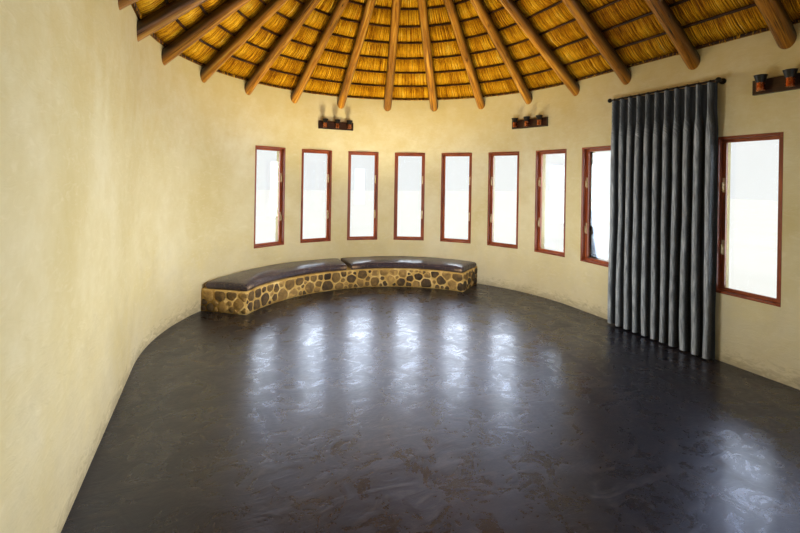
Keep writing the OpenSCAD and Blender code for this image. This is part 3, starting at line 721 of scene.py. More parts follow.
def looseStalks(field, count, levels, lifts, length, radius, tilt, spread, shade):
    # Short bundles laid down the slope, whose lower ends stand off it by tilt
    low, high = fieldSpan(field)
    draw = dice.uniform(levels[0] ** 2, levels[1] ** 2, count) ** 0.5
    if field not in roundEnds:
        draw = dice.uniform(*levels, count)
    along = dice.uniform(low, high, count)
    run = dice.uniform(*length, count) * cosPitch
    level = np.stack([np.maximum(draw - run, 0.02), draw], -1)
    lift = dice.uniform(*lifts, count)[:, None] + np.array([-tilt, tilt])
    places = along[:, None] + (dice.normal(0.0, spread, count)[:, None] * np.array([-0.5, 0.5])
                               / alongScale(field, level))
    places = withinField(field, places)
    across, out = roofAxes(field, places)
    radii = dice.uniform(*radius, (count, 1)) * np.array([0.8, 1.0])
    verts, faces = tubes(roofPoints(field, places, level, lift), across, out * 0.7, radii, 3, math.pi / 2)
    tone = bundleTones(shade, 0.15, count)
    grain = tubeGrain(places, level, alongScale(field, level), radii, 3, math.pi / 2)
    return verts, faces, np.repeat(tone, 2 * 3), grain


def fringe(field):
    # Cut ends of the bundles in the thickness of the eaves
    low, high = fieldSpan(field)
    scale = float(alongScale(field, eavesR))
    columns = int((high - low) * scale / (thatch["fringeStep"] * thatch["fringeSpacing"]))
    count = columns * thatch["fringeRows"]
    along = dice.uniform(low, high, count)
    lift = dice.uniform(underLift + 0.005, topLift - 0.007, count)
    end = eavesR - np.abs(dice.normal(0.0, 0.006, count)) - 0.001
    level = np.stack([end - 0.05, end], -1)
    places = withinField(field, along[:, None] + dice.normal(0.0, 0.004, (count, 2)) / scale)
    across, out = roofAxes(field, places)
    radii = dice.uniform(*thatch["fringeRadius"], (count, 1)) * np.ones((1, 2))
    verts, faces = tubes(roofPoints(field, places, level, lift[:, None] * np.ones((1, 2))),
                         across, out, radii, 3, math.pi / 4)
    tone = bundleTones(*thatch["fringeTone"], count)
    return verts, faces, np.repeat(tone, 2 * 3), tubeGrain(places, level, scale, radii, 3, math.pi / 4)


def wallFringe(field):
    # Stray ends that hang over the lowest lath of the room
    low, high = fieldSpan(field)
    scale = float(alongScale(field, lathInner))
    count = int((high - low) * scale * thatch["strayCount"])
    along = dice.uniform(low, high, count)[:, None] + dice.normal(0.0, 0.006, (count, 2)) / scale
    along = withinField(field, along)
    level = lathInner - 0.012 - dice.uniform(0.0, 0.006, (count, 1)) * np.ones((1, 2))
    centres = roofPoints(field, along, level, 0.018)
    centres[:, 1, 2] -= dice.uniform(*thatch["strayHang"], count)
    across, out = roofAxes(field, along)
    inward = np.stack([-out[..., 0], -out[..., 1], np.zeros_like(out[..., 0])], -1) / sinPitch
    radii = dice.uniform(*thatch["strayRadius"], (count, 1)) * np.array([1.0, 0.7])
    verts, faces = tubes(centres, across, inward, radii, 3)
    tone = bundleTones(*thatch["strayTone"], count)
    return verts, faces, np.repeat(tone, 2 * 3), tubeGrain(along, level, scale, radii, 3, 0.0)


def bed(field):
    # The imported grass: a closed solid a little inside the thatch's own faces
    low, high = fieldSpan(field)
    steps = thatch["bedSteps"]
    along = np.linspace(low, high, steps + 1)
    lathAt = lathLevels + eaveLevels
    first, last = 0.004, eavesR - 0.016
    spots = [first, roomR - 0.011, roomR - 0.009, outerR + 0.009, outerR + 0.011, last]
    for level in lathAt:
        spots += [level - 0.045, level - 0.02, level, level + 0.02, level + 0.045]
    inner = np.unique(np.round([s for s in spots if first <= s <= last], 4))
    near = np.abs(inner[:, None] - np.array(lathAt)[None]).min(1)
    innerLift = thatch["bedLift"] + thatch["bedOverLath"] * np.exp(-(near / 0.02) ** 2)
    onWall = (inner > roomR - 0.01) & (inner < outerR + 0.01)
    innerLift = np.where(onWall, underLift + 0.001, innerLift)
    outer = np.linspace(last, first, thatch["bedOutside"])
    level = np.concatenate([inner, outer])
    lift = np.concatenate([innerLift, np.full(len(outer), topLift - 0.012)])
    weather = np.concatenate([np.zeros(len(inner)), np.ones(len(outer))])
    along, level = np.meshgrid(along, level, indexing="ij")
    lift = np.broadcast_to(lift, along.shape)
    verts = roofPoints(field, along, level, lift).reshape(-1, 3)
    scale = level if field in roundEnds else 1.0
    grain = np.stack([along * scale, level / cosPitch, lift], -1).reshape(-1, 3)
    faces = sweptFaces(steps, len(weather), turnedOut=False)
    return verts, faces, grain, np.tile(weather, steps + 1)


def makeThatchField(field):
    title = "thatch" + field.capitalize()
    eaveLength, slopeArea = 2 * endY, 2 * endY * eavesR / cosPitch
    if field in roundEnds:
        eaveLength, slopeArea = math.pi * (outerR + eavesR) / 2, math.pi * eavesR ** 2 / 2 / cosPitch
    verts, faces, grain, weather = bed(field)
    makePiece(title + "Bed", verts, faces, thatchBed, "thatch_grass", ["thatch_" + field], grain=grain,
              weather=weather)
    under = looseStalks(field, int(eaveLength / thatch["eaveStep"] * thatch["eaveRows"]), **underEaves)
    makeGrass(title + "Stalks", [insideStalks(field), under, wallFringe(field)], stalkInside)
    tips = looseStalks(field, int(slopeArea * thatch["tipCount"]), **outsideTips)
    makeGrass(title + "Tips", [tips, fringe(field)], stalkOutside)


def makeGrass(name, parts, finish):
    tones, grains = [np.concatenate([part[which] for part in parts]) for which in (2, 3)]
    makePiece(name, *joinParts(parts), finish, "thatch_grass", tone=tones, grain=grains)


for fieldName in ("far", "near", "left", "right"):
    makeThatchField(fieldName)
print("thatch laid")


def lathsOf(field):
    # Round laths, a little crooked and of uneven thickness
    low, high = fieldSpan(field)
    parts = []
    for number, level in enumerate(lathLevels + eaveLevels):
        count = max(10, int((high - low) * float(alongScale(field, level)) / laths["ringStep"]))
        along = np.linspace(low, high, count)
        wave = np.array([ripple(level * 7, a * 3.0, number * 1.7) for a in along])
        thick = np.array([ripple(level * 5, a * 8.0, number * 2.3 + 40) for a in along])
        lift = laths["lift"] + wave * laths["wander"]
        centres = roofPoints(field, along, level + wave * laths["wander"], lift)[None]
        across, out = roofAxes(field, along)
        upslope = np.cross(across, out)
        radii = (laths["diameter"] / 2 * (0.97 + 0.10 * thick))[None]
        parts.append(tubes(centres, upslope[None], out[None], radii, laths["sides"]))
    return joinParts(parts)


def makeLaths(place, fields):
    makePiece("laths" + place.capitalize(), *joinParts([lathsOf(field) for field in fields]), lathWood,
              "lath_wood", ["laths_" + place])


makeLaths("far", ["far"])
makeLaths("near", ["near"])
makeLaths("side", ["left", "right"])
print("laths laid")


poles = {
    "butt": 0.071,          # radius by the eaves
    "tip": 0.061,           # radius by the ridge
    "tail": eavesR - 0.07,  # level distance of the butts
    "jack": 0.49,           # where the short ones are cut plumb
    "gap": 0.003,           # between two that are mitred together
    "rings": 66,
    "sides": 22,
    "knots": 15,            # on each pole
    "knotHeight": (0.002, 0.006),
    "knotSize": (0.018, 0.034),
    "lump": 0.006,          # unevenness along a pole, and the finer one on top of it
    "dent": 0.0022,
    "wallHalf": 0.16,       # where a pole runs through the wall it keeps its plain round
    "bow": 0.006,
}


def newPoles():
    bm = bmesh.new()
    bm.verts.layers.float_vector.new("grain")
    bm.verts.layers.float.new("knot")
    bm.verts.layers.float.new("flank")
    return bm


def poleShape(seed):
    # A pole along +X from its butt, its top line straight, with its grain, knot and flank layers
    slope = poles["tail"] / cosPitch
    draw = random.Random(seed)
    knots = [(draw.uniform(0.1, slope), draw.uniform(0, 2 * math.pi), draw.uniform(*poles["knotHeight"]),
              draw.uniform(*poles["knotSize"])) for _ in range(poles["knots"])]
    bowTurn = draw.uniform(0, 2 * math.pi)
    bm = newPoles()
    grainLayer = bm.verts.layers.float_vector["grain"]
    knotLayer = bm.verts.layers.float["knot"]
    flankLayer = bm.verts.layers.float["flank"]
    rings = []
    for i in range(poles["rings"] + 1):
        share = i / poles["rings"]
        s = share * slope
        radius = poles["butt"] + (poles["tip"] - poles["butt"]) * share
        level = poles["tail"] - s * cosPitch
        nearWall = math.exp(-((level - (roomR + outerR) / 2) / poles["wallHalf"]) ** 4)
        bow = poles["bow"] * math.sin(math.pi * share * 2.0 + bowTurn) * (1 - nearWall)
        ring = []
        for j in range(poles["sides"]):
            turn = 2 * math.pi * j / poles["sides"]
            wide, tall = math.cos(turn), math.sin(turn)
            lump = ripple(wide * 0.9, tall * 0.9, s * 1.6, seed * 7.0) * poles["lump"]
            lump += ripple(wide * 2.4, tall * 2.4, s * 5.0, seed * 3.0) * poles["dent"]
            mark = 0.0
            for at, knotTurn, height, size in knots:
                around = (turn - knotTurn + math.pi) % (2 * math.pi) - math.pi
                away = ((s - at) / size) ** 2 + (around * radius / (size * 0.7)) ** 2
                if away < 9:
                    lump += height * math.exp(-away)
                    mark = max(mark, math.exp(-away * 1.6))
            lump = lump * (1 - nearWall) + 0.0006 * nearWall
            if tall > 0.6:      # its top stays clear of the thatch
                lump = min(lump, 0.002)
            r = radius + lump
            vert = bm.verts.new((s, r * wide + bow, r * tall - radius))
            vert[grainLayer] = (turn * radius, s, seed * 1.37)
            vert[knotLayer] = mark
            vert[flankLayer] = tall
            ring.append(vert)
        rings.append(ring)
    for low, high in zip(rings[:-1], rings[1:]):
        for j in range(poles["sides"]):
            k = (j + 1) % poles["sides"]
            bm.faces.new((low[j], high[j], high[k], low[k]))
    bm.faces.new(rings[0])
    bm.faces.new(rings[-1][::-1])
    return bm


def cutFlat(bm, point, outward):
    # Takes away what lies beyond a plane and closes the cut
    geometry = bm.verts[:] + bm.edges[:] + bm.faces[:]
    made = bmesh.ops.bisect_plane(bm, geom=geometry, plane_co=point, plane_no=outward, clear_outer=True)
    edges = [g for g in made["geom_cut"] if isinstance(g, bmesh.types.BMEdge)]
    if edges:
        bmesh.ops.edgeloop_fill(bm, edges=edges)


def standPole(bm, turn, centre):
    # The pole's own frame: butt at the eaves, top line in the rafter plane, at an angle round the centre
    start = Vector((poles["tail"], 0, planeZ(poles["tail"])))
    along = Vector((-cosPitch, 0, sinPitch))
    out = Vector((sinPitch, 0, cosPitch))
    across = out.cross(along)
    frameMatrix = Matrix((along, across, out)).transposed().to_4x4()
    frameMatrix.translation = start
    bm.transform(Matrix.Translation(centre) @ Matrix.Rotation(turn, 4, "Z") @ frameMatrix)


def addPole(whole, bm):
    spare = bpy.data.meshes.new("spare")
    bm.to_mesh(spare)
    whole.from_mesh(spare)
    bpy.data.meshes.remove(spare)
    bm.free()


def endRafters(side):
    # side is 1 for the far round end and -1 for the near one; every other pole stops short of the apex
    whole = newPoles()
    centre = Vector((0, side * endY, 0))
    for i in range(bays + 1):
        turn = side * i * bayTurn
        bm = poleShape(i + (1 if side > 0 else 31))
        standPole(bm, turn, centre)
        ray = Vector((math.cos(turn), math.sin(turn), 0))
        if i % 2:
            cutFlat(bm, centre + ray * poles["jack"], -ray)
        else:
            for step in (-1, 1):
                wide = math.pi / 2 if (i == 0 and step < 0) or (i == bays and step > 0) else bayTurn
                cut = turn + side * step * wide
                edge = Vector((math.cos(cut), math.sin(cut), 0))
                outward = Vector((0, 0, side * step)).cross(edge)
                cutFlat(bm, centre + ray * poles["gap"], outward)
        addPole(whole, bm)
    return whole


def sideRafters():
    whole = newPoles()
    for i in range(1, sideBays):
        for side in (1, -1):
            bm = poleShape(60 + i * 2 + side)
            turn = 0.0 if side > 0 else math.pi
            standPole(bm, turn, Vector((0, endY - i * sideBay, 0)))
            cutFlat(bm, Vector((side * poles["gap"], 0, 0)), Vector((-side, 0, 0)))
            addPole(whole, bm)
    return whole


def makeRafters(place, bm):
    name = "rafters" + place.capitalize()
    mesh = bpy.data.meshes.new(name)
    bmesh.ops.recalc_face_normals(bm, faces=bm.faces[:])
    bm.to_mesh(mesh)
    bm.free()
    settle(newPiece(name, mesh), poleWood, ["rafters_" + place])


makeRafters("far", endRafters(1))
makeRafters("near", endRafters(-1))
makeRafters("side", sideRafters())
print("rafters set")


# Bench

def roundPoint(r, turn, z):
    # A point of the far round end, by its distance and angle from the middle
    return (r * math.cos(turn), endY + r * math.sin(turn), z)


bench = {
    "front": 1.900,
    "turn": math.radians(108),
    "height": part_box("bench_stone")[1].z - floorZ,
    "mortarBack": 0.016,       # how far the mortar stands behind the stones' faces
    "sizes": ((0.072, 45), (0.056, 110), (0.043, 190), (0.031, 240), (0.022, 160)),   # radius, tries a metre
    "stretch": 1.2,            # stones lie flat, so they are this much wider than tall
    "joint": 0.0052,           # half of a mortar joint
    "points": 22,              # round each stone
    "rings": ((1.0, 0.0), (0.97, 0.0), (0.88, 0.38), (0.7, 0.72), (0.42, 0.93), (0.0, 1.0)),   # size, rise
    "bed": 0.010,              # how deep the stones sit in the mortar
    "steps": 120,              # of the mortar along the bench
    "endInset": 0.008,         # the mortar's ends stand this angle behind the stones' faces
    "topGap": 0.006,           # between the stones and the top of the seat
}


def scatterStones(width, height):
    # Big stones first, then smaller ones wherever they still fit
    centres, sizes = [], []
    for size, tries in bench["sizes"]:
        for _ in range(int(tries * width)):
            radius = size * random.uniform(0.85, 1.15)
            across = random.uniform(radius * 0.8, width - radius * 0.8)
            up = random.uniform(min(radius, height / 2) * 0.85, height - min(radius, height / 2) * 0.85)
            clear = True
            for (otherAcross, otherUp), other in zip(centres, sizes):
                away = math.hypot((across - otherAcross) / bench["stretch"], up - otherUp)
                if away < (radius + other) * 0.93:
                    clear = False
                    break
            if clear:
                centres.append((across, up))
                sizes.append(radius)
    return np.array(centres), np.array(sizes)


def stoneOutlines(centres, sizes, width, height):
    # A stone reaches to where its neighbours' share begins, less its mortar joint
    angles = np.arange(bench["points"]) * 2 * math.pi / bench["points"]
    rays = np.stack([np.cos(angles), np.sin(angles)], -1)
    outlines = []
    for index, centre in enumerate(centres):
        others = np.delete(centres, index, 0) - centre
        otherSizes = np.delete(sizes, index)
        lengths = np.linalg.norm(others, axis=1)
        share = (lengths ** 2 + sizes[index] ** 2 - otherSizes ** 2) / (2 * lengths)
        share = np.maximum(share, 0.45 * sizes[index])
        facing = rays @ (others / lengths[:, None]).T
        reach = np.where(facing > 0.05, share / np.maximum(facing, 0.05), 9.0).min(1)
        for axis, size in ((0, width), (1, height)):
            toHigh = (size - centre[axis]) / np.maximum(rays[:, axis], 1e-3)
            toLow = centre[axis] / np.maximum(-rays[:, axis], 1e-3)
            reach = np.minimum(reach, np.where(rays[:, axis] > 0, toHigh, toLow))
        reach = np.minimum(reach, sizes[index] * 1.75)
        wobble = np.array([ripple(math.cos(a) * 1.6, math.sin(a) * 1.6, index * 3.1) for a in angles])
        reach = reach - bench["joint"] * (1.0 + 1.2 * wobble) * random.uniform(0.75, 1.5)
        for _ in range(2):
            reach = np.minimum(reach, (np.roll(reach, 1) + np.roll(reach, -1) + 2 * reach) / 4 * 1.01)
        outlines.append(np.maximum(reach * (0.96 + 0.10 * wobble), 0.010))
    return rays, outlines


def stonesOn(width, height, toRoom):
    # Rounded stones over a face; toRoom takes (across, up, out) arrays to points of the hut
    centres, sizes = scatterStones(width, height)
    rays, outlines = stoneOutlines(centres, sizes, width, height)
    verts, faces, tones = [], [], []
    shares = [share for share, _ in bench["rings"]]
    rises = np.array([rise for _, rise in bench["rings"]])
    n = bench["points"]
    for index, (centre, outline) in enumerate(zip(centres, outlines)):
        size = float(np.mean(outline))
        swell = min(1.0, size / 0.04) * random.uniform(0.6, 1.0)
        heights = rises * bench["mortarBack"] * swell
        heights[0] = -bench["bed"]
        tone = random.uniform(0.0, 1.0)
        start = len(verts)
        for share, rise in zip(shares[:-1], heights):
            for ray, reach in zip(rays, outline):
                across = centre[0] + ray[0] * reach * share
                up = centre[1] + ray[1] * reach * share
                bump = 0.0035 * ripple(across * 28, up * 28, index * 5.0) * (share < 0.95)
                verts.append(toRoom(across, up, rise + bump))
        verts.append(toRoom(centre[0], centre[1], heights[-1]))
        tones.extend([tone] * (len(verts) - start))
        for low in range(start, start + (len(shares) - 2) * n, n):
            for j in range(n):
                k = (j + 1) % n
                faces.append((low + j, low + k, low + n + k, low + n + j))
        tip = len(verts) - 1
        for j in range(n):
            faces.append((tip - n + j, tip - n + (j + 1) % n, tip))
        faces.append(tuple(start + j for j in range(n - 1, -1, -1)))
    return verts, faces, tones


def makeBench():
    half = bench["turn"] / 2
    mortarR = bench["front"] + bench["mortarBack"]
    steps = bench["steps"]
    top = floorZ + bench["height"]
    section = [(mortarR, floorZ), (mortarR, floorZ + 0.09), (mortarR, floorZ + 0.18), (mortarR, top - 0.012),
               (mortarR + 0.004, top - 0.003), (mortarR + 0.014, top), (roomR - 0.02, top), (roomR, top),
               (roomR, floorZ)]
    verts = []
    inset = bench["endInset"]
    for i in range(steps + 1):
        turn = math.pi / 2 - half + bench["turn"] * i / steps
        turn = min(max(turn, math.pi / 2 - half + inset), math.pi / 2 + half - inset)
        for j, (r, z) in enumerate(section):
            wave = 0.004 * ripple(turn * 9.0, z * 6.0, j * 0.3) if j < 4 else 0.0
            verts.append(roundPoint(r + wave, turn, z))
    makePiece("benchMortar", verts, sweptFaces(steps, len(section)), benchMortar, "rubble_stone",
              ["bench_stone"])

    stoneHeight = bench["height"] - bench["topGap"]
    frontWidth = bench["turn"] * bench["front"]

    def onFront(across, up, out):
        return roundPoint(mortarR - out, math.pi / 2 + half - across / bench["front"], floorZ + up)

    endWidth = roomR - bench["front"] - 0.02
    parts = [stonesOn(frontWidth, stoneHeight, onFront)]
    for side in (-1, 1):
        turn = math.pi / 2 + side * half
        ray = Vector((math.cos(turn), math.sin(turn), 0))
        away = Vector((0, 0, side)).cross(ray)

        def onEnd(across, up, out, ray=ray, away=away, side=side):
            reach = mortarR + (across if side > 0 else endWidth - across)
            point = Vector((0, endY, floorZ + up)) + ray * reach + away * (out - inset * mortarR)
            return tuple(point)

        parts.append(stonesOn(endWidth, stoneHeight, onEnd))
    tones = [tone for part in parts for tone in part[2]]
    makePiece("benchStones", *joinParts(parts), stone, "rubble_stone", tone=tones)


makeBench()
print("bench built")


# Seat pads

pads = {
    "inner": bench["front"] + 0.012,
    "outer": roomR - 0.010,
    "thick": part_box("pad_left")[1].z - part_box("pad_left")[0].z,
    "joint": 0.008,
    "shrink": 0.010,         # the pads start this much smaller and swell out
    "soft": 0.032,           # rounding of the long edges before they swell
    "voxel": 0.022,
    "cap": 0.022,            # furthest that the swelling moves a point
    "bulge": 0.015,          # how far the front may swell past the pad's own line
    "crown": 0.012,          # how much higher the middle of the seat is than its edges
    "seamPull": 0.006,       # how deep the stitched seams sit
    "pressure": 4.0,
    "frames": 20,            # that the leather swells for
    "steps": 60,             # along each pad
    "sectionStep": 0.03,
    "corner": 0.04,          # rounding of the pads' corners, seen from above
    "welt": 0.0055,          # radius of the piping
    "weltInset": 0.006,
    "pucker": 0.0028,        # creases beside the seams, and rumples all over
    "rumple": 0.0035,
}


def padSection(shrink):
    low, high = pads["inner"] + shrink, pads["outer"] - shrink
    bottom = floorZ + bench["height"] + 0.001
    top = bottom + pads["thick"] - 0.001 - shrink - pads["crown"]
    soft = pads["soft"]
    corners = [(low + soft * 0.6, bottom), (high - soft, bottom), (high, bottom + soft), (high, top - soft),
               (high - soft, top), (low + soft, top), (low, top - soft), (low, bottom + soft * 0.6)]
    points = []
    for (r, z), (rNext, zNext) in zip(corners, corners[1:] + corners[:1]):
        length = math.hypot(rNext - r, zNext - z)
        parts = max(1, round(length / pads["sectionStep"]))
        for i in range(parts):
            points.append((r + (rNext - r) * i / parts, z + (zNext - z) * i / parts))
    return points


def padBody(name, turnLow, turnHigh):
    section = padSection(pads["shrink"])
    steps = pads["steps"]
    inset = pads["shrink"] / pads["inner"]
    verts = []
    middleR = (pads["inner"] + pads["outer"]) / 2
    middleZ = floorZ + bench["height"] + pads["thick"] / 2
    for i in range(steps + 1):
        turn = turnLow + inset + (turnHigh - turnLow - 2 * inset) * i / steps
        fromEnd = min(i, steps - i) / steps * (turnHigh - turnLow) * pads["inner"]
        taper = 1.0 - 0.10 * max(0.0, 1 - fromEnd / 0.03) ** 2      # thinner towards the ends
        for r, z in section:
            reach = middleR + (r - middleR) * (0.985 + 0.015 * taper)
            across = (r - pads["inner"]) / (pads["outer"] - pads["inner"])
            crown = pads["crown"] * math.sin(math.pi * min(max(across, 0.0), 1.0)) ** 0.7
            height = middleZ + (z - middleZ) * taper + crown if z > middleZ else z
            verts.append(roundPoint(reach, turn, height))
    mesh = bpy.data.meshes.new(name)
    mesh.from_pydata(verts, [], sweptFaces(steps, len(section)))
    bm = bmesh.new()
    bm.from_mesh(mesh)
    bmesh.ops.triangulate(bm, faces=[f for f in bm.faces if len(f.verts) > 4])
    bmesh.ops.recalc_face_normals(bm, faces=bm.faces[:])
    bm.to_mesh(mesh)
    bm.free()
    return newPiece(name, mesh)


def applyModifiers(piece):
    graph = bpy.context.evaluated_depsgraph_get()
    made = bpy.data.meshes.new_from_object(piece.evaluated_get(graph))
    piece.modifiers.clear()
    old = piece.data
    piece.data = made
    bpy.data.meshes.remove(old)


def swell(piece):
    # Cloth under pressure, with how far a point may move kept to the cap, and kept off the seat below
    remesh = piece.modifiers.new("remesh", "REMESH")
    remesh.mode = "VOXEL"
    remesh.voxel_size = pads["voxel"]
    applyModifiers(piece)
    before = np.array([v.co for v in piece.data.vertices])
    cloth = piece.modifiers.new("cloth", "CLOTH")
    cloth.settings.use_pressure = True
    cloth.settings.uniform_pressure_force = pads["pressure"]
    cloth.settings.effector_weights.gravity = 0.0
    cloth.settings.quality = 5
    for number in range(1, pads["frames"] + 1):
        bpy.context.scene.frame_set(number)
    applyModifiers(piece)
    bpy.context.scene.frame_set(1)
    after = np.array([v.co for v in piece.data.vertices])
    move = after - before
    length = np.linalg.norm(move, axis=1, keepdims=True)
    move *= np.minimum(1.0, pads["cap"] / np.maximum(length, 1e-9))
    place = before + move
    place[:, 2] = np.maximum(place[:, 2], floorZ + bench["height"] + 0.0005)
    reach = np.hypot(place[:, 0], place[:, 1] - endY)
    kept = np.clip(reach, pads["inner"] - pads["bulge"], pads["outer"] + 0.004) / reach
    place[:, 0] *= kept
    place[:, 1] = endY + (place[:, 1] - endY) * kept
    piece.data.vertices.foreach_set("co", place.astype(np.float32).ravel())
    piece.data.update()
    smooth = piece.modifiers.new("smooth", "SUBSURF")
    smooth.levels = smooth.render_levels = 1
    applyModifiers(piece)


def weltLine(turnLow, turnHigh, inset, z):
    # A seam round a pad's outline, with rounded corners, as points
    corner = pads["corner"]
    low, high = pads["inner"] + inset, pads["outer"] - inset
    a, b = turnLow + (inset + 0.004) / low, turnHigh - (inset + 0.004) / low
    line = []
    for r, start, end, steps in ((low, a, b, 64), (high, b, a, 76)):
        cut = corner / r * (1 if end > start else -1)
        for i in range(steps + 1):
            turn = start + cut + (end - cut - start - cut) * i / steps
            line.append((r, turn))
        nextR = high if r == low else low
        for i in range(1, 6):
            bend = math.pi / 2 * i / 6
            step = corner * (1 if nextR > r else -1)
            line.append((r + step * (1 - math.cos(bend)), end - cut + cut * math.sin(bend)))
        for i in range(0, 8):
            line.append((r + step + (nextR - r - 2 * step) * i / 8, end))
        for i in range(1, 6):
            bend = math.pi / 2 * i / 6
            line.append((nextR - step * (1 - math.sin(bend)), end - cut * (1 - math.cos(bend))))
    return np.array([roundPoint(r, turn, z) for r, turn in line])


def closedTube(points, radius, sides=10):
    # A round cord along a closed line
    following = np.roll(points, -1, 0)
    before = np.roll(points, 1, 0)
    tangent = following - before
    tangent /= np.linalg.norm(tangent, axis=1, keepdims=True)
    up = np.array([0.0, 0.0, 1.0])
    across = np.cross(tangent, up)
    across /= np.linalg.norm(across, axis=1, keepdims=True)
    normal = np.cross(across, tangent)
    verts, faces = [], []
    count = len(points)
    for i in range(count):
        for j in range(sides):
            turn = 2 * math.pi * j / sides
            verts.append(points[i] + (across[i] * math.cos(turn) + normal[i] * math.sin(turn)) * radius)
    for i in range(count):
        n = (i + 1) % count
        for j in range(sides):
            k = (j + 1) % sides
            faces.append((i * sides + j, i * sides + k, n * sides + k, n * sides + j))
    return verts, faces


def seatSeam(line, piece):
    # Lays a seam's points on the pad's own surface
    tree = BVHTree.FromPolygons([v.co.copy() for v in piece.data.vertices],
                                [tuple(p.vertices) for p in piece.data.polygons])
    return np.array([tree.find_nearest(Vector(point))[0] for point in line])


def pullSeams(piece, seams):
    # Stitching pulls the leather in along the seams, and it puckers beside them
    near = kdtree.KDTree(sum(len(seam) for seam in seams))
    for index, point in enumerate(np.concatenate(seams)):
        near.insert(point, index)
    near.balance()
    front = []
    for vert in piece.data.vertices:
        _, index, away = near.find(vert.co)
        reach = math.hypot(vert.co.x, vert.co.y - endY)
        turn = math.atan2(vert.co.y - endY, vert.co.x)
        pucker = ripple(turn * 60.0, reach * 9.0, vert.co.z * 20.0) * math.exp(-away / 0.05)
        rumple = ripple(turn * 11.0, reach * 5.0, vert.co.z * 4.0, 7.0)
        move = -pads["seamPull"] * math.exp(-(away / 0.013) ** 2)
        move = move + pads["pucker"] * pucker + pads["rumple"] * rumple
        if vert.co.z > floorZ + bench["height"] + 0.01:
            vert.co += vert.normal * move
        front.append(min(1.0, max(0.0, (pads["inner"] + 0.022 - reach) / 0.03)))
    layer = piece.data.attributes.new("front", "FLOAT", "POINT")
    layer.data.foreach_set("value", front)
    piece.data.update()


def makePads():
    middle = math.pi / 2
    half = bench["turn"] / 2
    gap = pads["joint"] / 2 / pads["inner"]
    bottom = floorZ + bench["height"]
    top = bottom + pads["thick"]
    for name, node, low, high in (("padLeft", "pad_left", middle + gap, middle + half),
                                  ("padRight", "pad_right", middle - half, middle - gap)):
        piece = padBody(name, low, high)
        swell(piece)
        lines = [seatSeam(weltLine(low, high, pads["weltInset"], z), piece)
                 for z in (top - 0.026, bottom + 0.020)]
        pullSeams(piece, lines)
        settle(piece, leather, [node])
        verts, faces = joinParts([closedTube(seatSeam(line, piece), pads["welt"]) for line in lines])
        makePiece(name + "Piping", verts, faces, piping, "pad_leather")


makePads()
print("pads stuffed")


# Curtain

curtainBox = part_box("curtain")
curtain = {
    "middleX": (curtainBox[0].x + curtainBox[1].x) / 2,
    "low": curtainBox[0].z,
    "high": curtainBox[1].z,
    "left": curtainBox[0].y,
    "right": curtainBox[1].y,
    "pleats": 11,
    "depth": 0.042,         # half of the folds' depth, front to back
    "neck": 0.0085,         # how far the folds' sides lean in behind their ridges
    "rows": 78,
    "columnsAPleat": 26,
    "heading": 0.088,       # share of the height from the top edge to the pinch of the pleats
    "headRise": 0.016,      # how far the heading stands above the rings' feet
    "opening": 0.10,        # share of the height over which the pleats open out
    "wander": (0.16, 0.05),     # how far the folds stray sideways, in pleats: slowly and quickly
    "uneven": 0.24,         # how much deeper or shallower than the rest a fold may be
    "crease": 0.0035,       # pinches in the heading's pleats
    "hemCurl": 0.004,
}


def foldShape(swing, down):
    # A pleat's reach to the room, from -1 to 1: a narrow pinched ridge in the heading, a round fold below
    ridge = 0.5 + 0.5 * swing
    opened = min(1.0, max(0.0, (down - curtain["heading"]) / curtain["opening"]))
    opened = opened * opened * (3 - 2 * opened)
    away = (down - curtain["heading"]) / curtain["heading"]
    narrow = 1.6 + 3.4 * math.exp(-(away / 0.5) ** 2)
    pinched = -0.42 + 1.32 * ridge ** narrow
    full = math.copysign(abs(swing) ** 0.8, swing)
    return pinched + (full - pinched) * opened, opened


def makeCurtain():
    width = curtain["right"] - curtain["left"]
    height = curtain["high"] - curtain["low"] + curtain["headRise"]
    columns = curtain["pleats"] * curtain["columnsAPleat"]
    slow, quick = curtain["wander"]
    verts, grain, folds, flats = [], [], [], []
    for i in range(curtain["rows"] + 1):
        down = (i / curtain["rows"]) ** 1.25
        z = curtain["low"] + height * (1 - down)
        line = []
        for j in range(columns + 1):
            u = j / columns
            wander = slow * ripple(u * 5.0, down * 2.2, 3.0) + quick * ripple(u * 13.0, down * 5.0, 9.0)
            loose = min(1.0, max(0.0, down - curtain["heading"]) * 2.5)
            phase = u * curtain["pleats"] - 0.25 + wander * loose
            swing = math.sin(2 * math.pi * phase)
            reach, opened = foldShape(swing, down)
            size = 1.0 + curtain["uneven"] * ripple(phase * 0.9, down * 1.5, 21.0) * opened
            crease = curtain["crease"] * math.cos(6 * math.pi * (phase - 0.25))
            crease = crease * max(0.0, swing) * (1 - opened)
            side = -curtain["neck"] * math.sin(4 * math.pi * phase) * (0.3 + 0.7 * opened)
            x = curtain["middleX"] - curtain["depth"] * reach * size - crease
            y = curtain["left"] + width * u + side
            y = min(max(y, curtain["left"]), curtain["right"])
            line.append((x, y, z + curtain["hemCurl"] * swing * (down > 0.97)))
            folds.append(0.5 + 0.5 * reach)
        steps = [0.0]
        for a, b in zip(line[:-1], line[1:]):
            steps.append(steps[-1] + math.dist(a, b))
        flats.append(steps[-1])
        verts.extend(line)
        grain.extend([(s, down * height, 0.0) for s in steps])
    faces = []
    across = columns + 1
    for low in range(0, curtain["rows"] * across, across):
        for j in range(low, low + columns):
            faces.append((j, j + 1, j + 1 + across, j + across))
    piece = makePiece("drawnCurtain", verts, faces, curtainCloth, "curtain_cloth", ["curtain"],
                      grain=grain, fold=folds)


makeCurtain()
print("curtain hung")


# Stage, light and camera

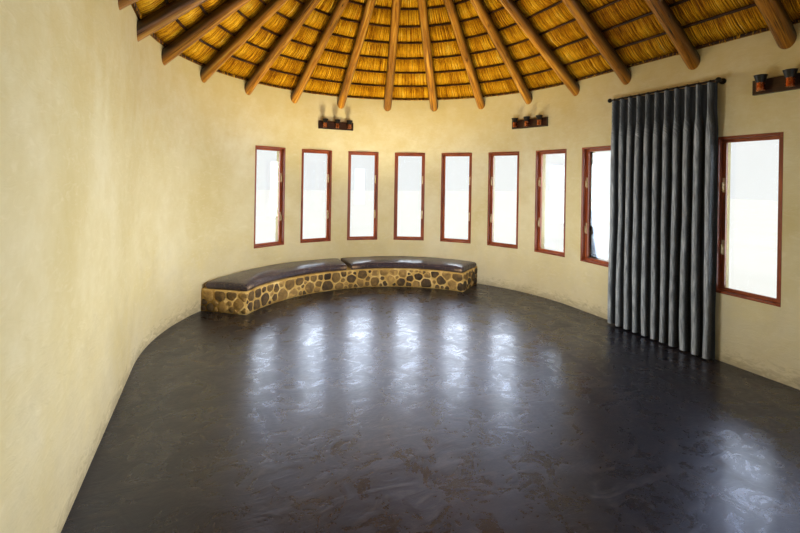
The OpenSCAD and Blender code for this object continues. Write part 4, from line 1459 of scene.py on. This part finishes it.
def makeStage():
    bpy.ops.mesh.primitive_plane_add(size=120, location=(0, 0, 0))
    ground = bpy.context.object
    ground.name = "paleFloor"
    f = Finish("paleFloor")
    grainy = f.grain(f.place(), 0.6, 3.0, 0.5)
    colour = f.ramp(grainy, [(0.3, "#efeeea"), (0.7, "#f6f5f2")])
    ground.data.materials.append(f.dress(colour=colour, rough=0.9))


light = {
    "sky": 0.85,
    "farPower": 13.5,             # of the daylight that each window lets in, by where the window is
    "sidePower": 10.5,
    "nearPower": 6.5,
    "windowColour": (0.88, 0.94, 1.0),
    "windowSize": (0.38, 1.36),
    "windowDepth": 0.0975,        # of those lamps in the wall, just outside the sashes
    "floorPower": 500.0,          # of the daylight thrown up to the roof from the floor of the far end
    "floorCone": math.radians(100),
    "floorColour": (1.0, 0.90, 0.64),
    "floorPlace": (0.15, endY + 1.0, floorZ + 0.15),
    "floorBlend": 0.7,            # softness of that cone's edge
    "floorSize": 0.3,
    "roomPlace": (0.0, 1.0, 1.35),
    "roomPower": {"Far": 61.0, "Left": 40.0, "Right": 16.0, "Near": 20.0},   # soft light to each side
    "roomColour": {"Far": (1.0, 0.99, 0.95), "Left": (1.0, 0.98, 0.92), "Right": (0.86, 0.92, 1.0),
                   "Near": (1.0, 0.98, 0.94)},
    "roomDip": 0.22,              # how far those lamps look down in a metre
    "roomSize": 0.9,
    "roomWay": {"Far": (0.2, 1), "Left": (-1, 0), "Right": (1, 0), "Near": (0, -1)},
    "sunPower": 1.6,
    "sunColour": (1.0, 0.96, 0.9),
    "sunPlace": (-6, -4, 12),
    "sunSize": 0.5,
}


def makeWorld():
    # White to the eye, in gloss and through glass, and a plain soft sky to everything else
    world = bpy.data.worlds.new("sky")
    bpy.context.scene.world = world
    world.use_nodes = True
    tree = world.node_tree
    background = tree.nodes["Background"]
    background.inputs["Color"].default_value = (1, 1, 1, 1)
    path = tree.nodes.new("ShaderNodeLightPath")
    seen = None
    for ray in ("Is Camera Ray", "Is Glossy Ray", "Is Transmission Ray"):
        if seen is None:
            seen = path.outputs[ray]
            continue
        both = tree.nodes.new("ShaderNodeMath")
        both.operation = "MAXIMUM"
        tree.links.new(seen, both.inputs[0])
        tree.links.new(path.outputs[ray], both.inputs[1])
        seen = both.outputs[0]
    strength = tree.nodes.new("ShaderNodeMapRange")
    tree.links.new(seen, strength.inputs["Value"])
    strength.inputs["To Min"].default_value = light["sky"]
    strength.inputs["To Max"].default_value = 1.0
    tree.links.new(strength.outputs["Result"], background.inputs["Strength"])


def addLamp(name, kind, place, power, colour, aim=None, size=1.0, mirrored=False):
    lamp = bpy.data.lights.new(name, kind)
    lamp.energy = power
    lamp.color = colour
    if kind == "AREA":
        lamp.shape = "DISK"
        lamp.size = size
    elif kind == "SUN":
        lamp.angle = size
    else:
        lamp.shadow_soft_size = size
    holder = bpy.data.objects.new(name, lamp)
    holder.location = place
    if aim is not None:
        holder.rotation_mode = "QUATERNION"
        holder.rotation_quaternion = (Vector(aim) - Vector(place)).to_track_quat("-Z", "Y")
    holder.visible_camera = False
    holder.visible_glossy = mirrored
    bpy.context.scene.collection.objects.link(holder)
    return lamp


def paneCentres():
    # Middle of each separate pane of the windows
    bm = bmesh.new()
    bm.from_mesh(nodes["window_glass"].data)
    bmesh.ops.remove_doubles(bm, verts=bm.verts[:], dist=1e-5)
    left = set(bm.verts)
    centres = []
    while left:
        found, edge = [], [left.pop()]
        while edge:
            vert = edge.pop()
            found.append(vert.co.copy())
            for link in vert.link_edges:
                other = link.other_vert(vert)
                if other in left:
                    left.remove(other)
                    edge.append(other)
        centres.append(sum(found, Vector()) / len(found))
    bm.free()
    return sorted(centres, key=lambda c: (round(c.y, 3), round(c.x, 3)))


def addWindowLight():
    # Daylight behind the glass of every window
    for number, centre in enumerate(paneCentres()):
        middle = Vector((0, math.copysign(min(abs(centre.y), endY), centre.y), centre.z))
        out = (centre - middle).normalized()
        power = light["sidePower"]
        if abs(centre.y) > endY:
            power = light["farPower"] if centre.y > 0 else light["nearPower"]
        place = middle + out * (roomR + light["windowDepth"])
        lamp = addLamp(f"windowLight{number}", "AREA", place, power, light["windowColour"], aim=middle,
                       mirrored=True)
        lamp.shape = "RECTANGLE"
        lamp.size, lamp.size_y = light["windowSize"]


def addRoomLight():
    x, y, z = light["roomPlace"]
    for side, way in light["roomWay"].items():
        aim = (x + way[0], y + way[1], z - light["roomDip"])
        addLamp("roomLight" + side, "AREA", (x, y, z), light["roomPower"][side], light["roomColour"][side],
                aim=aim, size=light["roomSize"])


def addFloorLight():
    # Points straight up, where the low sun would bounce off the floor
    place = light["floorPlace"]
    lamp = addLamp("floorLight", "SPOT", place, light["floorPower"], light["floorColour"],
                   aim=(place[0], place[1], 9.0), size=light["floorSize"])
    lamp.spot_size, lamp.spot_blend = light["floorCone"], light["floorBlend"]


makeStage()
makeWorld()
addWindowLight()
addFloorLight()
addRoomLight()
addLamp("softSun", "SUN", light["sunPlace"], light["sunPower"], light["sunColour"], aim=(0, 0, 0),
        size=light["sunSize"])

# Camera, at the photograph's place
view = {
    "place": (-1.906, -2.364, 1.834),
    "turnRight": math.radians(23.2),
    "roll": 0.0164,
    "lens": 18.88,
    "shift": (0.0055, -0.109),
}


def makeCamera():
    data = bpy.data.cameras.new("photoCamera")
    data.lens = view["lens"]
    data.sensor_width = 36.0
    data.shift_x, data.shift_y = view["shift"]
    data.clip_start = 0.02
    data.clip_end = 200.0
    camera = bpy.data.objects.new("photoCamera", data)
    camera.location = view["place"]
    turn = Matrix.Rotation(-view["turnRight"], 4, "Z") @ Matrix.Rotation(math.pi / 2, 4, "X")
    camera.rotation_euler = (turn @ Matrix.Rotation(view["roll"], 4, "Z")).to_euler()
    bpy.context.scene.collection.objects.link(camera)
    bpy.context.scene.camera = camera


makeCamera()

bpy.context.scene.view_settings.view_transform = "Standard"
print("light and camera set")
